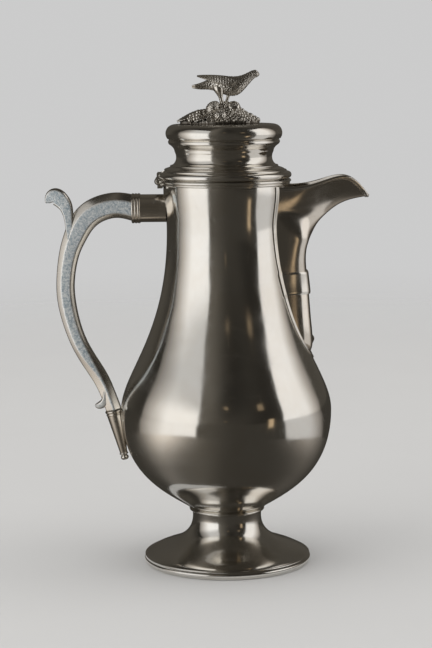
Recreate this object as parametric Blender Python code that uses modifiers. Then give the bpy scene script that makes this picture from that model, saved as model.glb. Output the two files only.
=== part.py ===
# Covered ewer in silver: a pear-shaped body on a trumpet foot, a beak spout, a chamfered
# scroll handle held in two sockets, and a moulded lid on a flush hinge with a bird finial.
# Lengths are in metres, +Z is up, +X points along the spout.
# Every piece is drawn about the pot's own axis. An empty carries that axis, placed so
# that the origin is the middle of the whole object's length, on the table.
import math

import bmesh
import bpy
from mathutils import Matrix, Vector

# clearances and walls shared by all pieces
SEAM_GAP = 0.0003
BODY_WALL = 0.0012
CUTTER_OVERRUN = 0.004
TURNING_STEPS = 32
FINE_STEPS = 16
PIN_STEPS = 12
HALVINGS = 40

# body: bowl, neck and mouth
MOUTH_RADIUS = 0.0368
MOUTH_TOP_Z = 0.2350
MOUTH_STRAIGHT_HEIGHT = 0.0060
WAIST_RADIUS = 0.0350
WAIST_Z = 0.2050
BELLY_RADIUS = 0.0642
BELLY_Z = 0.0945
BASE_RADIUS = 0.0215
BASE_Z = 0.0335
# handle lengths of the cubic curves between those rings, as shares of the height between them
NECK_EASE_SHARE = 0.40
SHOULDER_UPPER_SHARE = 0.592
SHOULDER_LOWER_SHARE = 0.205
BOWL_UPPER_SHARE = 0.655
BOWL_LOWER_OUT_SHARE = 0.37
BOWL_LOWER_UP_SHARE = 0.175

# mouth rim: an applied reeded wire
MOUTH_RIM_WIDTH = 0.0036
MOUTH_RIM_HEIGHT = 0.0036

# foot: a hollow trumpet with an applied edge ring and a ring at its joint
FOOT_WALL = 0.0013
FOOT_NECK_RADIUS = 0.0210
FOOT_NECK_Z = 0.0285
FOOT_EDGE_RADIUS = 0.0496
FOOT_EDGE_Z = 0.0050
FOOT_NECK_DROP_SHARE = 0.74
FOOT_EDGE_RUN_SHARE = 0.21
FOOT_EDGE_RISE_SHARE = 0.26
FOOT_RIM_RADIUS = 0.0512
FOOT_RIM_WIDTH = 0.0045
JOINT_RING_WIDTH = 0.0015
JOINT_RING_HEIGHT = 0.0017

# lid: dome with a roll, steps and a cove, on a moulded flange with a bezel beneath
LID_WALL = 0.0010
LID_TOP_Z = 0.2678
LID_CROWN_RISE = 0.0006
ROLL_PROUD = 0.0063
ROLL_THICKNESS = 0.0108
STEP_PROUD = 0.0049
STEP_HEIGHT = 0.0026
LOWER_STEP_PROUD = 0.0024
COVE_DEPTH = 0.0031
COVE_Z = 0.2476
LID_PLATE_STEP_IN = 0.0005
LID_PLATE_WIDTH = 0.0044
LID_PLATE_Z = 0.2406
LID_FLANGE_PROUD = 0.0037
LID_FLANGE_ROLL = 0.0038
BEZEL_CLEARANCE = 0.0005
BEZEL_WALL = 0.0010
BEZEL_DEPTH = 0.0050

# hinge: five knuckles on one pin, let into the mouldings behind the lid
HINGE_STANDOFF = 0.0028
HINGE_AXIS_Z = 0.2342
HINGE_LENGTH = 0.0180
KNUCKLE_RADIUS = 0.0023
KNUCKLE_COUNT = 5
KNUCKLE_STEPS = 14
KNUCKLE_GAP = 0.0003
HINGE_PIN_RADIUS = 0.0009
HINGE_PIN_HEAD_RADIUS = 0.0016
HINGE_PIN_HEAD_LENGTH = 0.0009
HINGE_NOTCH_CLEARANCE = 0.0005
BODY_LEAF_DEPTH = 0.0042
LID_LEAF_HEIGHT = 0.0036

# spout: round in section below, folded above into a beak of V section with a rounded nose
SPOUT_REACH = 0.0874
SPOUT_TOP_Z = 0.2309
SPOUT_BOTTOM_Z = 0.1287
SPOUT_HALF_WIDTH = 0.0184
SPOUT_WALL = 0.0011
SPOUT_NOSE_SHARE = 0.40
SPOUT_ROUND_SHARE = 2.8
DROP_END_SHARES = (0.06, 0.22)
BEAK_START_SHARES = (0.50, 0.74)
SPOUT_LIP_HUMP = 0.0103
SPOUT_LIP_SKEW_SHARE = 2.3
SPOUT_HUMP_START_SHARE = 0.55
SPOUT_PROBE_SHARE = 0.01
SPOUT_ROOT_DEPTH = 0.0030
# how far the keel stands off the body over the spout's projection, keel height, joint
# height, half width; heights run from the spout's bottom to its top, the last is the lip
SPOUT_STATION_SHARES = (
    (-0.015, 0.000, 0.000, 0.00),
    (0.038, 0.030, 0.030, 0.36),
    (0.103, 0.090, 0.090, 0.62),
    (0.171, 0.205, 0.205, 0.73),
    (0.232, 0.355, 0.355, 0.77),
    (0.252, 0.480, 0.480, 0.82),
    (0.261, 0.570, 0.570, 0.88),
    (0.286, 0.640, 0.680, 0.93),
    (0.335, 0.698, 0.745, 0.96),
    (0.410, 0.768, 0.805, 0.98),
    (0.500, 0.822, 0.855, 0.99),
    (0.626, 0.876, 0.905, 1.00),
    (0.788, 0.912, 0.950, 1.00),
    (1.000, 0.932, 1.000, 1.00),
)
SPOUT_SIDE_STEPS = 10
SPOUT_RISE_STEPS = 17
SPOUT_EDGE_STEPS = 16
SPOUT_TIP_SPLIT_Z = 0.1412
SPOUT_TIP_STEPS = 7
SPOUT_TIP_END_SHARE = 0.012
SPOUT_TIP_NOSE_SHARE = 0.25
SPOUT_TIP_BEAD = 0.0009
SPOUT_TIP_BEAD_Z = 0.1378
SPOUT_TIP_BEAD_HALF_HEIGHT = 0.0026
SPOUT_FLANGE_WIDTH = 0.0022
SPOUT_FLANGE_THICKNESS = 0.0009
SPOUT_BAND_HEIGHT = 0.0024
SPOUT_BAND_THICKNESS = 0.0007
STRAP_LOW_Z = 0.1655
STRAP_HIGH_Z = 0.1790
STRAP_THICKNESS = 0.0011
OPENING_TOP_Z = 0.2265
OPENING_BOTTOM_Z = 0.1600
OPENING_TOP_HALF_WIDTH = 0.0135
OPENING_BOTTOM_HALF_WIDTH = 0.0080

# upper socket: a short tube out of the neck with a reeded collar at its mouth
UPPER_SOCKET_Z = 0.2176
UPPER_SOCKET_RADIUS = 0.0084
UPPER_SOCKET_WALL = 0.0010
UPPER_SOCKET_LENGTH = 0.0174
UPPER_COLLAR_RADIUS = 0.0089
UPPER_COLLAR_LENGTH = 0.0054
UPPER_COLLAR_REEDS = 3
PIN_RADIUS = 0.0010
PIN_TILT_DEGREES = 31.0
PIN_DISTANCE = 0.0058
PIN_HEAD_PROUD = 0.0003

# lower socket: a tapered tube leaning on the belly, with a double collar and a button
LOWER_SOCKET_STANDOFF = 0.0046
LOWER_SOCKET_RADIUS = 0.0049
LOWER_SOCKET_END_RADIUS = 0.0023
LOWER_SOCKET_LENGTH = 0.0236
LOWER_SOCKET_LEAN_DEGREES = 12.0
LOWER_SOCKET_WALL = 0.0009
LOWER_SOCKET_BORE_DEPTH = 0.0130
LOWER_COLLAR_RADIUS = 0.0055
LOWER_COLLAR_HEIGHT = 0.0036
BUTTON_RING_RADIUS = 0.0027
BUTTON_HEIGHT = 0.0048
LOWER_PIN_RADIUS = 0.0008

# handle: a chamfered bar on a C curve, with a thumb scroll and a curled toe
HANDLE_REACH = 0.0967
HANDLE_DEPTH = 0.0155
HANDLE_TOP_THICKNESS = 0.0116
HANDLE_FOOT_THICKNESS = 0.0084
OUTER_CHAMFER_SHARE = 0.29
INNER_CHAMFER_SHARE = 0.20
# outward from the upper mouth to the reach, height from the lower to the upper mouth, depth
HANDLE_ARCH_SHARES = (
    (0.293, 1.016, 0.98),
    (0.590, 0.985, 1.00),
    (0.765, 0.925, 0.97),
    (0.862, 0.858, 0.88),
    (0.947, 0.773, 0.77),
    (1.000, 0.649, 0.70),
)
# the same below the reach, outward from the lower mouth
HANDLE_FALL_SHARES = (
    (0.980, 0.536, 0.69),
    (0.860, 0.416, 0.64),
    (0.640, 0.295, 0.62),
    (0.325, 0.178, 0.61),
    (0.138, 0.090, 0.58),
)
HANDLE_END_DEPTH_SHARE = 0.60
HANDLE_STEPS = 3
SCROLL_STEPS = 2
SCROLL_PROJECTION = 0.0114
SCROLL_THICKNESS = 0.0108
SCROLL_DEPTH = 0.0098
# the scroll's own line: out from the handle's reach, height as for the handle, depth
SCROLL_STATION_SHARES = (
    (-0.412, 0.840, 0.40),
    (-0.324, 0.905, 0.46),
    (-0.257, 0.962, 0.56),
    (-0.104, 1.010, 0.78),
    (0.184, 1.042, 0.96),
    (0.503, 1.060, 1.02),
    (0.768, 1.058, 0.88),
    (0.934, 1.046, 0.58),
    (1.000, 1.034, 0.36),
)
SCROLL_CHAMFER_SHARE = 0.10
TOE_PROJECTION = 0.0118
TOE_DEPTH = 0.0048
TOE_THICKNESS = 0.0080
# the toe's line: out from the lower socket's mouth, height as for the handle, depth
TOE_STATION_SHARES = (
    (0.140, 0.105, 0.90),
    (0.270, 0.070, 0.95),
    (0.440, 0.040, 1.00),
    (0.665, 0.025, 0.92),
    (0.850, 0.021, 0.78),
    (1.000, 0.021, 0.46),
)
TENON_CLEARANCE = 0.0003
UPPER_TENON_LENGTH = 0.0120
LOWER_TENON_LENGTH = 0.0090

# finial: a leafy mound with a bird, drawn down onto the lid by a stud and nut
MOUND_LEFT = 0.0287
MOUND_RIGHT = 0.0217
MOUND_HALF_WIDTH = 0.0150
MOUND_HEIGHT = 0.0116
MOUND_EDGE_HEIGHT = 0.0018
MOUND_LOBES = 7
MOUND_LOBE_SHARE = 0.08
MOUND_RINGS = 8
MOUND_SPOKES = 28
MOUND_TOP_SHARE = 0.20
MOUND_SIDE_SHARE = 0.9
# lumps on the mound: along its left or right reach, across it, radius, height
MOUND_LUMP_SHARES = (
    (-0.30, -0.10, 0.22, 0.20),
    (0.34, 0.05, 0.22, 0.14),
    (-0.12, -0.66, 0.24, 0.34),
    (-0.58, -0.45, 0.18, 0.20),
    (0.62, -0.32, 0.24, 0.20),
    (0.10, 0.64, 0.24, 0.32),
    (-0.52, 0.46, 0.20, 0.20),
    (0.62, 0.42, 0.22, 0.18),
)
BIRD_LENGTH = 0.0407
BIRD_TAIL_X = -0.0189
BIRD_BELLY_Z = 0.2842
BIRD_HEIGHT = 0.0160
BIRD_HALF_WIDTH = 0.0056
# along the bird, section's middle height, half height over the bird's height, half width
BIRD_STATION_SHARES = (
    (0.000, 0.390, 0.040, 0.50),
    (0.060, 0.400, 0.075, 0.62),
    (0.170, 0.440, 0.120, 0.52),
    (0.290, 0.480, 0.215, 0.64),
    (0.440, 0.440, 0.330, 0.92),
    (0.590, 0.390, 0.375, 1.00),
    (0.710, 0.445, 0.335, 0.90),
    (0.810, 0.620, 0.265, 0.68),
    (0.885, 0.775, 0.200, 0.50),
    (0.945, 0.850, 0.150, 0.38),
    (0.980, 0.835, 0.090, 0.22),
    (1.000, 0.810, 0.030, 0.07),
)
BIRD_SECTION_POINTS = 10
LEG_TOP_RADIUS = 0.0016
LEG_FOOT_RADIUS = 0.0009
LEG_SPACING = 0.0052
LEG_X = 0.0009
WING_LENGTH = 0.0238
WING_BACK_X = -0.0150
WING_HEIGHT = 0.0052
WING_THICKNESS = 0.0013
WING_TOP_Z = 0.2972
WING_FRONT_SPREAD = 0.0062
WING_BACK_SPREAD = 0.0040
# along the wing from tip to shoulder, top edge drop, height, spread from tip's to shoulder's
WING_STATION_SHARES = (
    (0.00, 0.02, 0.10, 0.00),
    (0.12, 0.00, 0.34, 0.15),
    (0.35, 0.00, 0.66, 0.50),
    (0.60, 0.06, 0.92, 0.85),
    (0.82, 0.20, 0.90, 1.00),
    (1.00, 0.48, 0.30, 0.85),
)
STUD_RADIUS = 0.0015
STUD_CLEARANCE = 0.0003
STUD_LENGTH = 0.0085
WASHER_RADIUS = 0.0055
WASHER_THICKNESS = 0.0009
NUT_RADIUS = 0.0036
NUT_HEIGHT = 0.0026

# sizes that follow from those above
MOUTH_RIM_RADIUS = MOUTH_RADIUS + MOUTH_RIM_WIDTH
LID_FLANGE_RADIUS = MOUTH_RADIUS + LID_FLANGE_PROUD
LID_PLATE_RADIUS = MOUTH_RADIUS - LID_PLATE_STEP_IN
LID_BEAD_RADIUS = LID_PLATE_RADIUS - LID_PLATE_WIDTH
COVE_RADIUS = LID_BEAD_RADIUS - COVE_DEPTH
LOWER_STEP_RADIUS = COVE_RADIUS + LOWER_STEP_PROUD
STEP_RADIUS = COVE_RADIUS + STEP_PROUD
ROLL_RADIUS = COVE_RADIUS + ROLL_PROUD
HINGE_AXIS_RADIUS = MOUTH_RADIUS + HINGE_STANDOFF
ENVELOPE_TOP_Z = MOUTH_TOP_Z + CUTTER_OVERRUN
RIM_BOTTOM_Z = MOUTH_TOP_Z - MOUTH_RIM_HEIGHT
LID_SEAT_Z = MOUTH_TOP_Z + SEAM_GAP
BEZEL_RADIUS = MOUTH_RADIUS - BODY_WALL - BEZEL_CLEARANCE
FOOT_TOP_Z = BASE_Z - SEAM_GAP
LOWER_SOCKET_X = BELLY_RADIUS + LOWER_SOCKET_STANDOFF
LOWER_LEAN = math.radians(LOWER_SOCKET_LEAN_DEGREES)
PIN_TILT = math.radians(PIN_TILT_DEGREES)
POT_AXIS_X = (HANDLE_REACH + SCROLL_PROJECTION - SPOUT_REACH) / 2


# Curves and small geometry helpers

def cubic(start, leave, arrive, end, count):
    points = []
    for i in range(count + 1):
        t = i / count
        s = 1 - t
        weights = (s ** 3, 3 * s * s * t, 3 * s * t * t, t ** 3)
        corners = (start, leave, arrive, end)
        points.append(tuple(sum(w * c[k] for w, c in zip(weights, corners)) for k in range(len(start))))
    return points


def arc(centre, radius, start_degrees, end_degrees, count):
    points = []
    for i in range(count + 1):
        angle = math.radians(start_degrees + (end_degrees - start_degrees) * i / count)
        points.append((centre[0] + radius * math.cos(angle), centre[1] + radius * math.sin(angle)))
    return points


def smooth_through(points, steps):
    # a Catmull-Rom curve: it passes through every point given
    padded = [points[0]] + list(points) + [points[-1]]
    out = []
    for a, b, c, d in zip(padded, padded[1:], padded[2:], padded[3:]):
        for i in range(steps):
            t = i / steps
            out.append(tuple(
                0.5 * (2 * q + (r - p) * t + (2 * p - 5 * q + 4 * r - s) * t * t
                       + (3 * q - p - 3 * r + s) * t ** 3)
                for p, q, r, s in zip(a, b, c, d)))
    out.append(tuple(points[-1]))
    return out


def value_on(points, place):
    # a smooth curve's value at a place from 0 at the first point to 1 at the last
    spans = len(points) - 1
    i = min(int(place * spans), spans - 1)
    t = place * spans - i
    padded = [points[0]] + list(points) + [points[-1]]
    a, b, c, d = padded[i:i + 4]
    return tuple(
        0.5 * (2 * q + (r - p) * t + (2 * p - 5 * q + 4 * r - s) * t * t
               + (3 * q - p - 3 * r + s) * t ** 3)
        for p, q, r, s in zip(a, b, c, d))


def blend(a, b, t):
    return a + (b - a) * t


# Scene, material and object helpers

def empty_scene():
    for item in list(bpy.data.objects):
        bpy.data.objects.remove(item)
    for block in (bpy.data.meshes, bpy.data.curves, bpy.data.materials):
        for item in list(block):
            block.remove(item)


def new_collection(name):
    collection = bpy.data.collections.new(name)
    bpy.context.scene.collection.children.link(collection)
    return collection


FINISHES = {
    "polished": ((0.80, 0.78, 0.74), 0.16),
    "warm": ((0.78, 0.72, 0.64), 0.20),
    "brushed": ((0.74, 0.76, 0.78), 0.32),
    "cast": ((0.66, 0.63, 0.58), 0.34),
    "inside": ((0.62, 0.60, 0.56), 0.40),
}


def silver(name, finish):
    colour, roughness = FINISHES[finish]
    material = bpy.data.materials.new(name + "_silver")
    material.use_nodes = True
    shader = material.node_tree.nodes["Principled BSDF"]
    shader.inputs["Base Color"].default_value = (*colour, 1)
    shader.inputs["Metallic"].default_value = 1
    shader.inputs["Roughness"].default_value = roughness
    return material


def add_object(name, mesh, finish=None, parent=None):
    item = bpy.data.objects.new(name, mesh)
    if finish is None:
        CUTTERS.objects.link(item)
        item.hide_render = True
        item.display_type = 'WIRE'
    else:
        EWER.objects.link(item)
        mesh.materials.append(silver(name, finish))
    item.parent = parent or POT_AXIS
    if item.parent is LID_HINGE:
        # the lid's pieces are drawn about the pot's axis as well
        item.location = (HINGE_AXIS_RADIUS, 0, -HINGE_AXIS_Z)
    return item


def smooth_faces(item, degrees=35):
    item.data.shade_smooth()
    item.data.set_sharp_from_angle(angle=math.radians(degrees))


def turned(name, outline, finish=None, parent=None, steps=TURNING_STEPS, closed=True):
    # an outline of (radius, height) runs down the outer side, then back up the inner side
    mesh = bpy.data.meshes.new(name)
    vertices = [(r, 0, z) for r, z in outline]
    edges = [(i, i + 1) for i in range(len(vertices) - 1)]
    if closed:
        edges.append((len(vertices) - 1, 0))
    mesh.from_pydata(vertices, edges, [])
    item = add_object(name, mesh, finish, parent)
    screw = item.modifiers.new("Turn", 'SCREW')
    screw.axis = 'Z'
    screw.angle = 2 * math.pi
    screw.steps = steps
    screw.render_steps = steps
    screw.use_merge_vertices = True
    screw.merge_threshold = 0.000001
    screw.use_smooth_shade = True
    return item


def lofted(name, sections, finish=None, parent=None, capped=True, wrapped=True):
    # joins neighbouring sections point to point; a wrapped section is a closed loop
    mesh = bpy.data.meshes.new(name)
    count = len(sections[0])
    vertices = [point for section in sections for point in section]
    faces = []
    for i in range(len(sections) - 1):
        for j in range(count if wrapped else count - 1):
            k = (j + 1) % count
            faces.append((i * count + j, i * count + k, (i + 1) * count + k, (i + 1) * count + j))
    if capped:
        faces.append(tuple(range(count - 1, -1, -1)))
        last = (len(sections) - 1) * count
        faces.append(tuple(range(last, last + count)))
    mesh.from_pydata(vertices, [], faces)
    build = bmesh.new()
    build.from_mesh(mesh)
    if capped:
        bmesh.ops.recalc_face_normals(build, faces=build.faces)
    build.to_mesh(mesh)
    build.free()
    item = add_object(name, mesh, finish, parent)
    smooth_faces(item)
    return item


def rod(name, start, end, radius, end_radius=None, finish=None, parent=None, steps=FINE_STEPS):
    # a cylinder or cone between two points
    start = Vector(start)
    end = Vector(end)
    mesh = bpy.data.meshes.new(name)
    build = bmesh.new()
    turn = (end - start).to_track_quat('Z', 'Y').to_matrix().to_4x4()
    place = Matrix.Translation((start + end) / 2) @ turn
    bmesh.ops.create_cone(build, cap_ends=True, segments=steps, radius1=radius,
                          radius2=radius if end_radius is None else end_radius,
                          depth=(end - start).length, matrix=place)
    build.to_mesh(mesh)
    build.free()
    item = add_object(name, mesh, finish, parent)
    smooth_faces(item)
    return item


def block(name, low, high, finish=None, parent=None):
    mesh = bpy.data.meshes.new(name)
    build = bmesh.new()
    low = Vector(low)
    high = Vector(high)
    size = high - low
    place = Matrix.Translation((low + high) / 2) @ Matrix.Diagonal((*size, 1))
    bmesh.ops.create_cube(build, size=1, matrix=place)
    build.to_mesh(mesh)
    build.free()
    return add_object(name, mesh, finish, parent)


def combine(item, other, operation):
    boolean = item.modifiers.new(operation.title(), 'BOOLEAN')
    boolean.operation = operation
    boolean.solver = 'EXACT'
    boolean.object = other


def cut(item, *cutters):
    for cutter in cutters:
        combine(item, cutter, 'DIFFERENCE')


def unite(item, *others):
    for other in others:
        combine(item, other, 'UNION')


# Body

def body_outline():
    waist = (WAIST_RADIUS, WAIST_Z)
    belly = (BELLY_RADIUS, BELLY_Z)
    straight_z = MOUTH_TOP_Z - MOUTH_STRAIGHT_HEIGHT
    neck = straight_z - WAIST_Z
    shoulder = WAIST_Z - BELLY_Z
    bowl = BELLY_Z - BASE_Z
    bowl_run = BELLY_RADIUS - BASE_RADIUS
    outline = [(MOUTH_RADIUS, MOUTH_TOP_Z)]
    outline += cubic((MOUTH_RADIUS, straight_z), (MOUTH_RADIUS, straight_z - neck * NECK_EASE_SHARE),
                     (WAIST_RADIUS, WAIST_Z + neck * NECK_EASE_SHARE), waist, 3)
    outline += cubic(waist, (WAIST_RADIUS, WAIST_Z - shoulder * SHOULDER_UPPER_SHARE),
                     (BELLY_RADIUS, BELLY_Z + shoulder * SHOULDER_LOWER_SHARE), belly, 9)[1:]
    outline += cubic(belly, (BELLY_RADIUS, BELLY_Z - bowl * BOWL_UPPER_SHARE),
                     (BASE_RADIUS + bowl_run * BOWL_LOWER_OUT_SHARE, BASE_Z + bowl * BOWL_LOWER_UP_SHARE),
                     (BASE_RADIUS, BASE_Z), 8)[1:]
    return outline


BODY_OUTLINE = body_outline()


def body_radius(z):
    for (r1, z1), (r2, z2) in zip(BODY_OUTLINE, BODY_OUTLINE[1:]):
        if z1 >= z >= z2 and z1 > z2:
            return blend(r2, r1, (z - z2) / (z1 - z2))
    return BODY_OUTLINE[0][0] if z > MOUTH_TOP_Z else BODY_OUTLINE[-1][0]


def on_body(y, z, lift):
    # the point of the body's surface at a side distance and a height, lifted off it
    radius = body_radius(z) + lift
    return Vector((math.sqrt(max(radius * radius - y * y, 0)), y, z))


def inset_outline(outline, wall):
    # the same outline moved inwards by the wall, square to itself
    moved = []
    for i, (r, z) in enumerate(outline):
        before = outline[max(i - 1, 0)]
        after = outline[min(i + 1, len(outline) - 1)]
        run = after[0] - before[0]
        fall = after[1] - before[1]
        length = math.hypot(run, fall)
        moved.append((max(r + wall * fall / length, 0), z - wall * run / length))
    return moved


def make_body():
    inner = inset_outline(BODY_OUTLINE, BODY_WALL)
    inner[0] = (MOUTH_RADIUS - BODY_WALL, MOUTH_TOP_Z)
    inner[-1] = (BASE_RADIUS, BASE_Z + BODY_WALL)
    # the hollow side needs fewer points, except where the wall curves most at the waist
    thinned = inner[:2] + inner[3:7] + inner[8:-1:2] + inner[-1:]
    outline = BODY_OUTLINE + [(0, BASE_Z), (0, BASE_Z + BODY_WALL)] + thinned[::-1]
    body = turned("body_shell", outline, "polished")
    outline_low = OPENING_BOTTOM_Z + OPENING_BOTTOM_HALF_WIDTH
    outline_high = OPENING_TOP_Z
    hole = [(OPENING_TOP_HALF_WIDTH, outline_high)]
    hole += arc((0, outline_low), OPENING_BOTTOM_HALF_WIDTH, 0, -180, 8)
    hole += [(-OPENING_TOP_HALF_WIDTH, outline_high)]
    near = WAIST_RADIUS / 2
    far = SPOUT_REACH
    opening = lofted("spout_opening_cutter", [[(x, y, z) for y, z in hole] for x in (near, far)])
    cut(body, opening)
    return body


def make_envelope():
    # the body's outer form as a solid, a seam's gap larger: it trims what stands on the body
    outline = [(0, ENVELOPE_TOP_Z), (MOUTH_RADIUS + SEAM_GAP, ENVELOPE_TOP_Z)]
    outline += [(r + SEAM_GAP, z) for r, z in BODY_OUTLINE[1:]]
    outline += [(BASE_RADIUS + SEAM_GAP, BASE_Z - SEAM_GAP), (0, BASE_Z - SEAM_GAP)]
    return turned("body_envelope_cutter", outline, closed=False, steps=TURNING_STEPS * 2)


def make_mouth_rim():
    inside = MOUTH_RADIUS + SEAM_GAP
    width = MOUTH_RIM_RADIUS - inside
    top = MOUTH_TOP_Z
    tall = MOUTH_RIM_HEIGHT
    outline = [
        (inside, top),
        (inside + width * 0.92, top),
        (inside + width, top - tall * 0.18),
        (inside + width * 0.74, top - tall * 0.46),
        (inside + width * 0.84, top - tall * 0.64),
        (inside + width * 0.70, top - tall * 0.82),
        (inside + width * 0.30, top - tall),
        (inside, top - tall),
    ]
    rim = turned("mouth_rim", outline, "polished")
    cut(rim, HINGE_NOTCH)
    return rim


def foot_outline():
    drop = FOOT_NECK_Z - FOOT_EDGE_Z
    run = FOOT_EDGE_RADIUS - FOOT_NECK_RADIUS
    top = (FOOT_NECK_RADIUS * 1.01, FOOT_TOP_Z)
    outline = [top]
    outline += cubic((FOOT_NECK_RADIUS, FOOT_NECK_Z),
                     (FOOT_NECK_RADIUS, FOOT_NECK_Z - drop * FOOT_NECK_DROP_SHARE),
                     (FOOT_EDGE_RADIUS - run * FOOT_EDGE_RUN_SHARE,
                      FOOT_EDGE_Z + drop * FOOT_EDGE_RISE_SHARE),
                     (FOOT_EDGE_RADIUS, FOOT_EDGE_Z), 9)
    return outline


def make_foot():
    outer = foot_outline()
    inner = inset_outline(outer, FOOT_WALL)
    inner[0] = (outer[0][0] - FOOT_WALL, FOOT_TOP_Z)
    inner[-1] = (FOOT_EDGE_RADIUS, FOOT_EDGE_Z - FOOT_WALL)
    thinned = inner[:1] + inner[1:-1:2] + inner[-1:]
    foot = turned("foot_shell", outer + thinned[::-1], "warm")

    under = FOOT_EDGE_Z - FOOT_WALL - SEAM_GAP
    seat = FOOT_EDGE_RADIUS + SEAM_GAP
    top = FOOT_EDGE_Z
    inside = FOOT_RIM_RADIUS - FOOT_RIM_WIDTH
    proud = FOOT_RIM_RADIUS - seat
    outline = [
        (seat, top),
        (seat + proud * 0.70, top * 0.94),
        (seat + proud * 0.50, top * 0.76),
        (seat + proud * 0.96, top * 0.62),
        (FOOT_RIM_RADIUS, top * 0.36),
        (seat + proud * 0.66, 0),
        (inside, 0),
        (inside, under),
        (seat, under),
    ]
    turned("foot_rim", outline, "warm")

    inner_radius = outer[0][0] + SEAM_GAP
    outer_radius = inner_radius + JOINT_RING_WIDTH
    low = FOOT_TOP_Z - JOINT_RING_HEIGHT
    middle = FOOT_TOP_Z - JOINT_RING_HEIGHT / 2
    outline = [(inner_radius, FOOT_TOP_Z)]
    outline += arc((outer_radius - JOINT_RING_HEIGHT / 2, middle), JOINT_RING_HEIGHT / 2, 90, -90, 3)
    outline += [(inner_radius, low)]
    turned("foot_joint_ring", outline, "polished")
    return foot


# Lid

def lid_outline():
    roll = ROLL_THICKNESS / 2
    roll_centre = (ROLL_RADIUS - roll, LID_TOP_Z - roll)
    step_z = LID_TOP_Z - ROLL_THICKNESS * 0.88
    lower_z = step_z - STEP_HEIGHT
    outline = [(roll_centre[0] * 0.55, LID_TOP_Z + LID_CROWN_RISE * 0.6)]
    outline += arc(roll_centre, roll, 88, -42, 7)
    outline += arc((STEP_RADIUS - STEP_HEIGHT * 0.4, step_z - STEP_HEIGHT * 0.45),
                   STEP_HEIGHT * 0.4, 50, -60, 2)
    outline += [(LOWER_STEP_RADIUS, lower_z), (LOWER_STEP_RADIUS * 0.975, lower_z - STEP_HEIGHT * 0.85)]
    cove_top = lower_z - STEP_HEIGHT
    bead_z = LID_PLATE_Z + (COVE_Z - LID_PLATE_Z) * 0.38
    outline += cubic((LOWER_STEP_RADIUS * 0.955, cove_top), (COVE_RADIUS, cove_top),
                     (COVE_RADIUS, bead_z), (LID_BEAD_RADIUS * 0.965, bead_z), 4)
    plate_edge = LID_PLATE_RADIUS
    outline += [
        (LID_BEAD_RADIUS, blend(bead_z, LID_PLATE_Z, 0.30)),
        (blend(LID_BEAD_RADIUS, plate_edge, 0.2), blend(bead_z, LID_PLATE_Z, 0.58)),
        (blend(LID_BEAD_RADIUS, plate_edge, 0.75), blend(bead_z, LID_PLATE_Z, 0.42)),
        (plate_edge, LID_PLATE_Z + SEAM_GAP),
    ]
    return outline


def make_lid():
    outer = lid_outline()
    plate_under = LID_PLATE_Z - SEAM_GAP
    inner_wall = COVE_RADIUS - LID_WALL
    roll = ROLL_THICKNESS / 2
    roll_centre = (ROLL_RADIUS - roll, LID_TOP_Z - roll)
    step_z = LID_TOP_Z - ROLL_THICKNESS
    inner = [(roll_centre[0] * 0.55, LID_TOP_Z + LID_CROWN_RISE * 0.6 - LID_WALL)]
    inner += arc(roll_centre, roll - LID_WALL, 88, -42, 3)
    inner += [
        (inner_wall, step_z - STEP_HEIGHT),
        (inner_wall, COVE_Z),
        (LID_BEAD_RADIUS - LID_WALL, plate_under + LID_WALL),
        (LID_BEAD_RADIUS - LID_WALL, plate_under),
    ]
    top = LID_TOP_Z + LID_CROWN_RISE
    outline = [(0, top)] + outer + [(LID_PLATE_RADIUS, plate_under)] + inner[::-1] + [(0, top - LID_WALL)]
    lid = turned("lid_dome", outline, "polished", LID_HINGE)
    hole = rod("stud_hole_cutter", (0, 0, top + CUTTER_OVERRUN), (0, 0, LID_TOP_Z - CUTTER_OVERRUN),
               STUD_RADIUS + STUD_CLEARANCE, parent=LID_HINGE)
    cut(lid, hole)

    flange_top = plate_under - SEAM_GAP
    inside = BEZEL_RADIUS + SEAM_GAP
    roll = LID_FLANGE_ROLL / 2
    roll_z = LID_SEAT_Z + roll * 1.08
    outline = [(inside, flange_top), (LID_PLATE_RADIUS, flange_top)]
    outline += [(LID_FLANGE_RADIUS - roll * 1.15, flange_top - roll * 0.30)]
    outline += arc((LID_FLANGE_RADIUS - roll, roll_z), roll, 70, -72, 5)
    outline += [(LID_FLANGE_RADIUS - roll * 0.8, LID_SEAT_Z), (inside, LID_SEAT_Z)]
    flange = turned("lid_flange", outline, "polished", LID_HINGE)
    cut(flange, LID_NOTCH)

    low = MOUTH_TOP_Z - BEZEL_DEPTH
    outline = [
        (BEZEL_RADIUS, flange_top),
        (BEZEL_RADIUS, low),
        (BEZEL_RADIUS - BEZEL_WALL, low),
        (BEZEL_RADIUS - BEZEL_WALL, flange_top),
    ]
    turned("lid_bezel", outline, "inside", LID_HINGE)
    return lid


# Hinge

def knuckle_spans():
    length = HINGE_LENGTH / KNUCKLE_COUNT
    start = -HINGE_LENGTH / 2
    spans = []
    for i in range(KNUCKLE_COUNT):
        low = start + i * length + KNUCKLE_GAP / 2
        spans.append((low, low + length - KNUCKLE_GAP))
    return spans


def hinge_notch(name, low_z, high_z, parent):
    # the space in a moulding round the barrel and the leaf beside it
    half = HINGE_LENGTH / 2 + HINGE_PIN_HEAD_LENGTH + HINGE_NOTCH_CLEARANCE
    far = HINGE_AXIS_RADIUS + KNUCKLE_RADIUS + CUTTER_OVERRUN
    near = MOUTH_RADIUS + SEAM_GAP / 2
    return block(name, (-far, -half, low_z), (-near, half, high_z), parent=parent)


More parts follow.
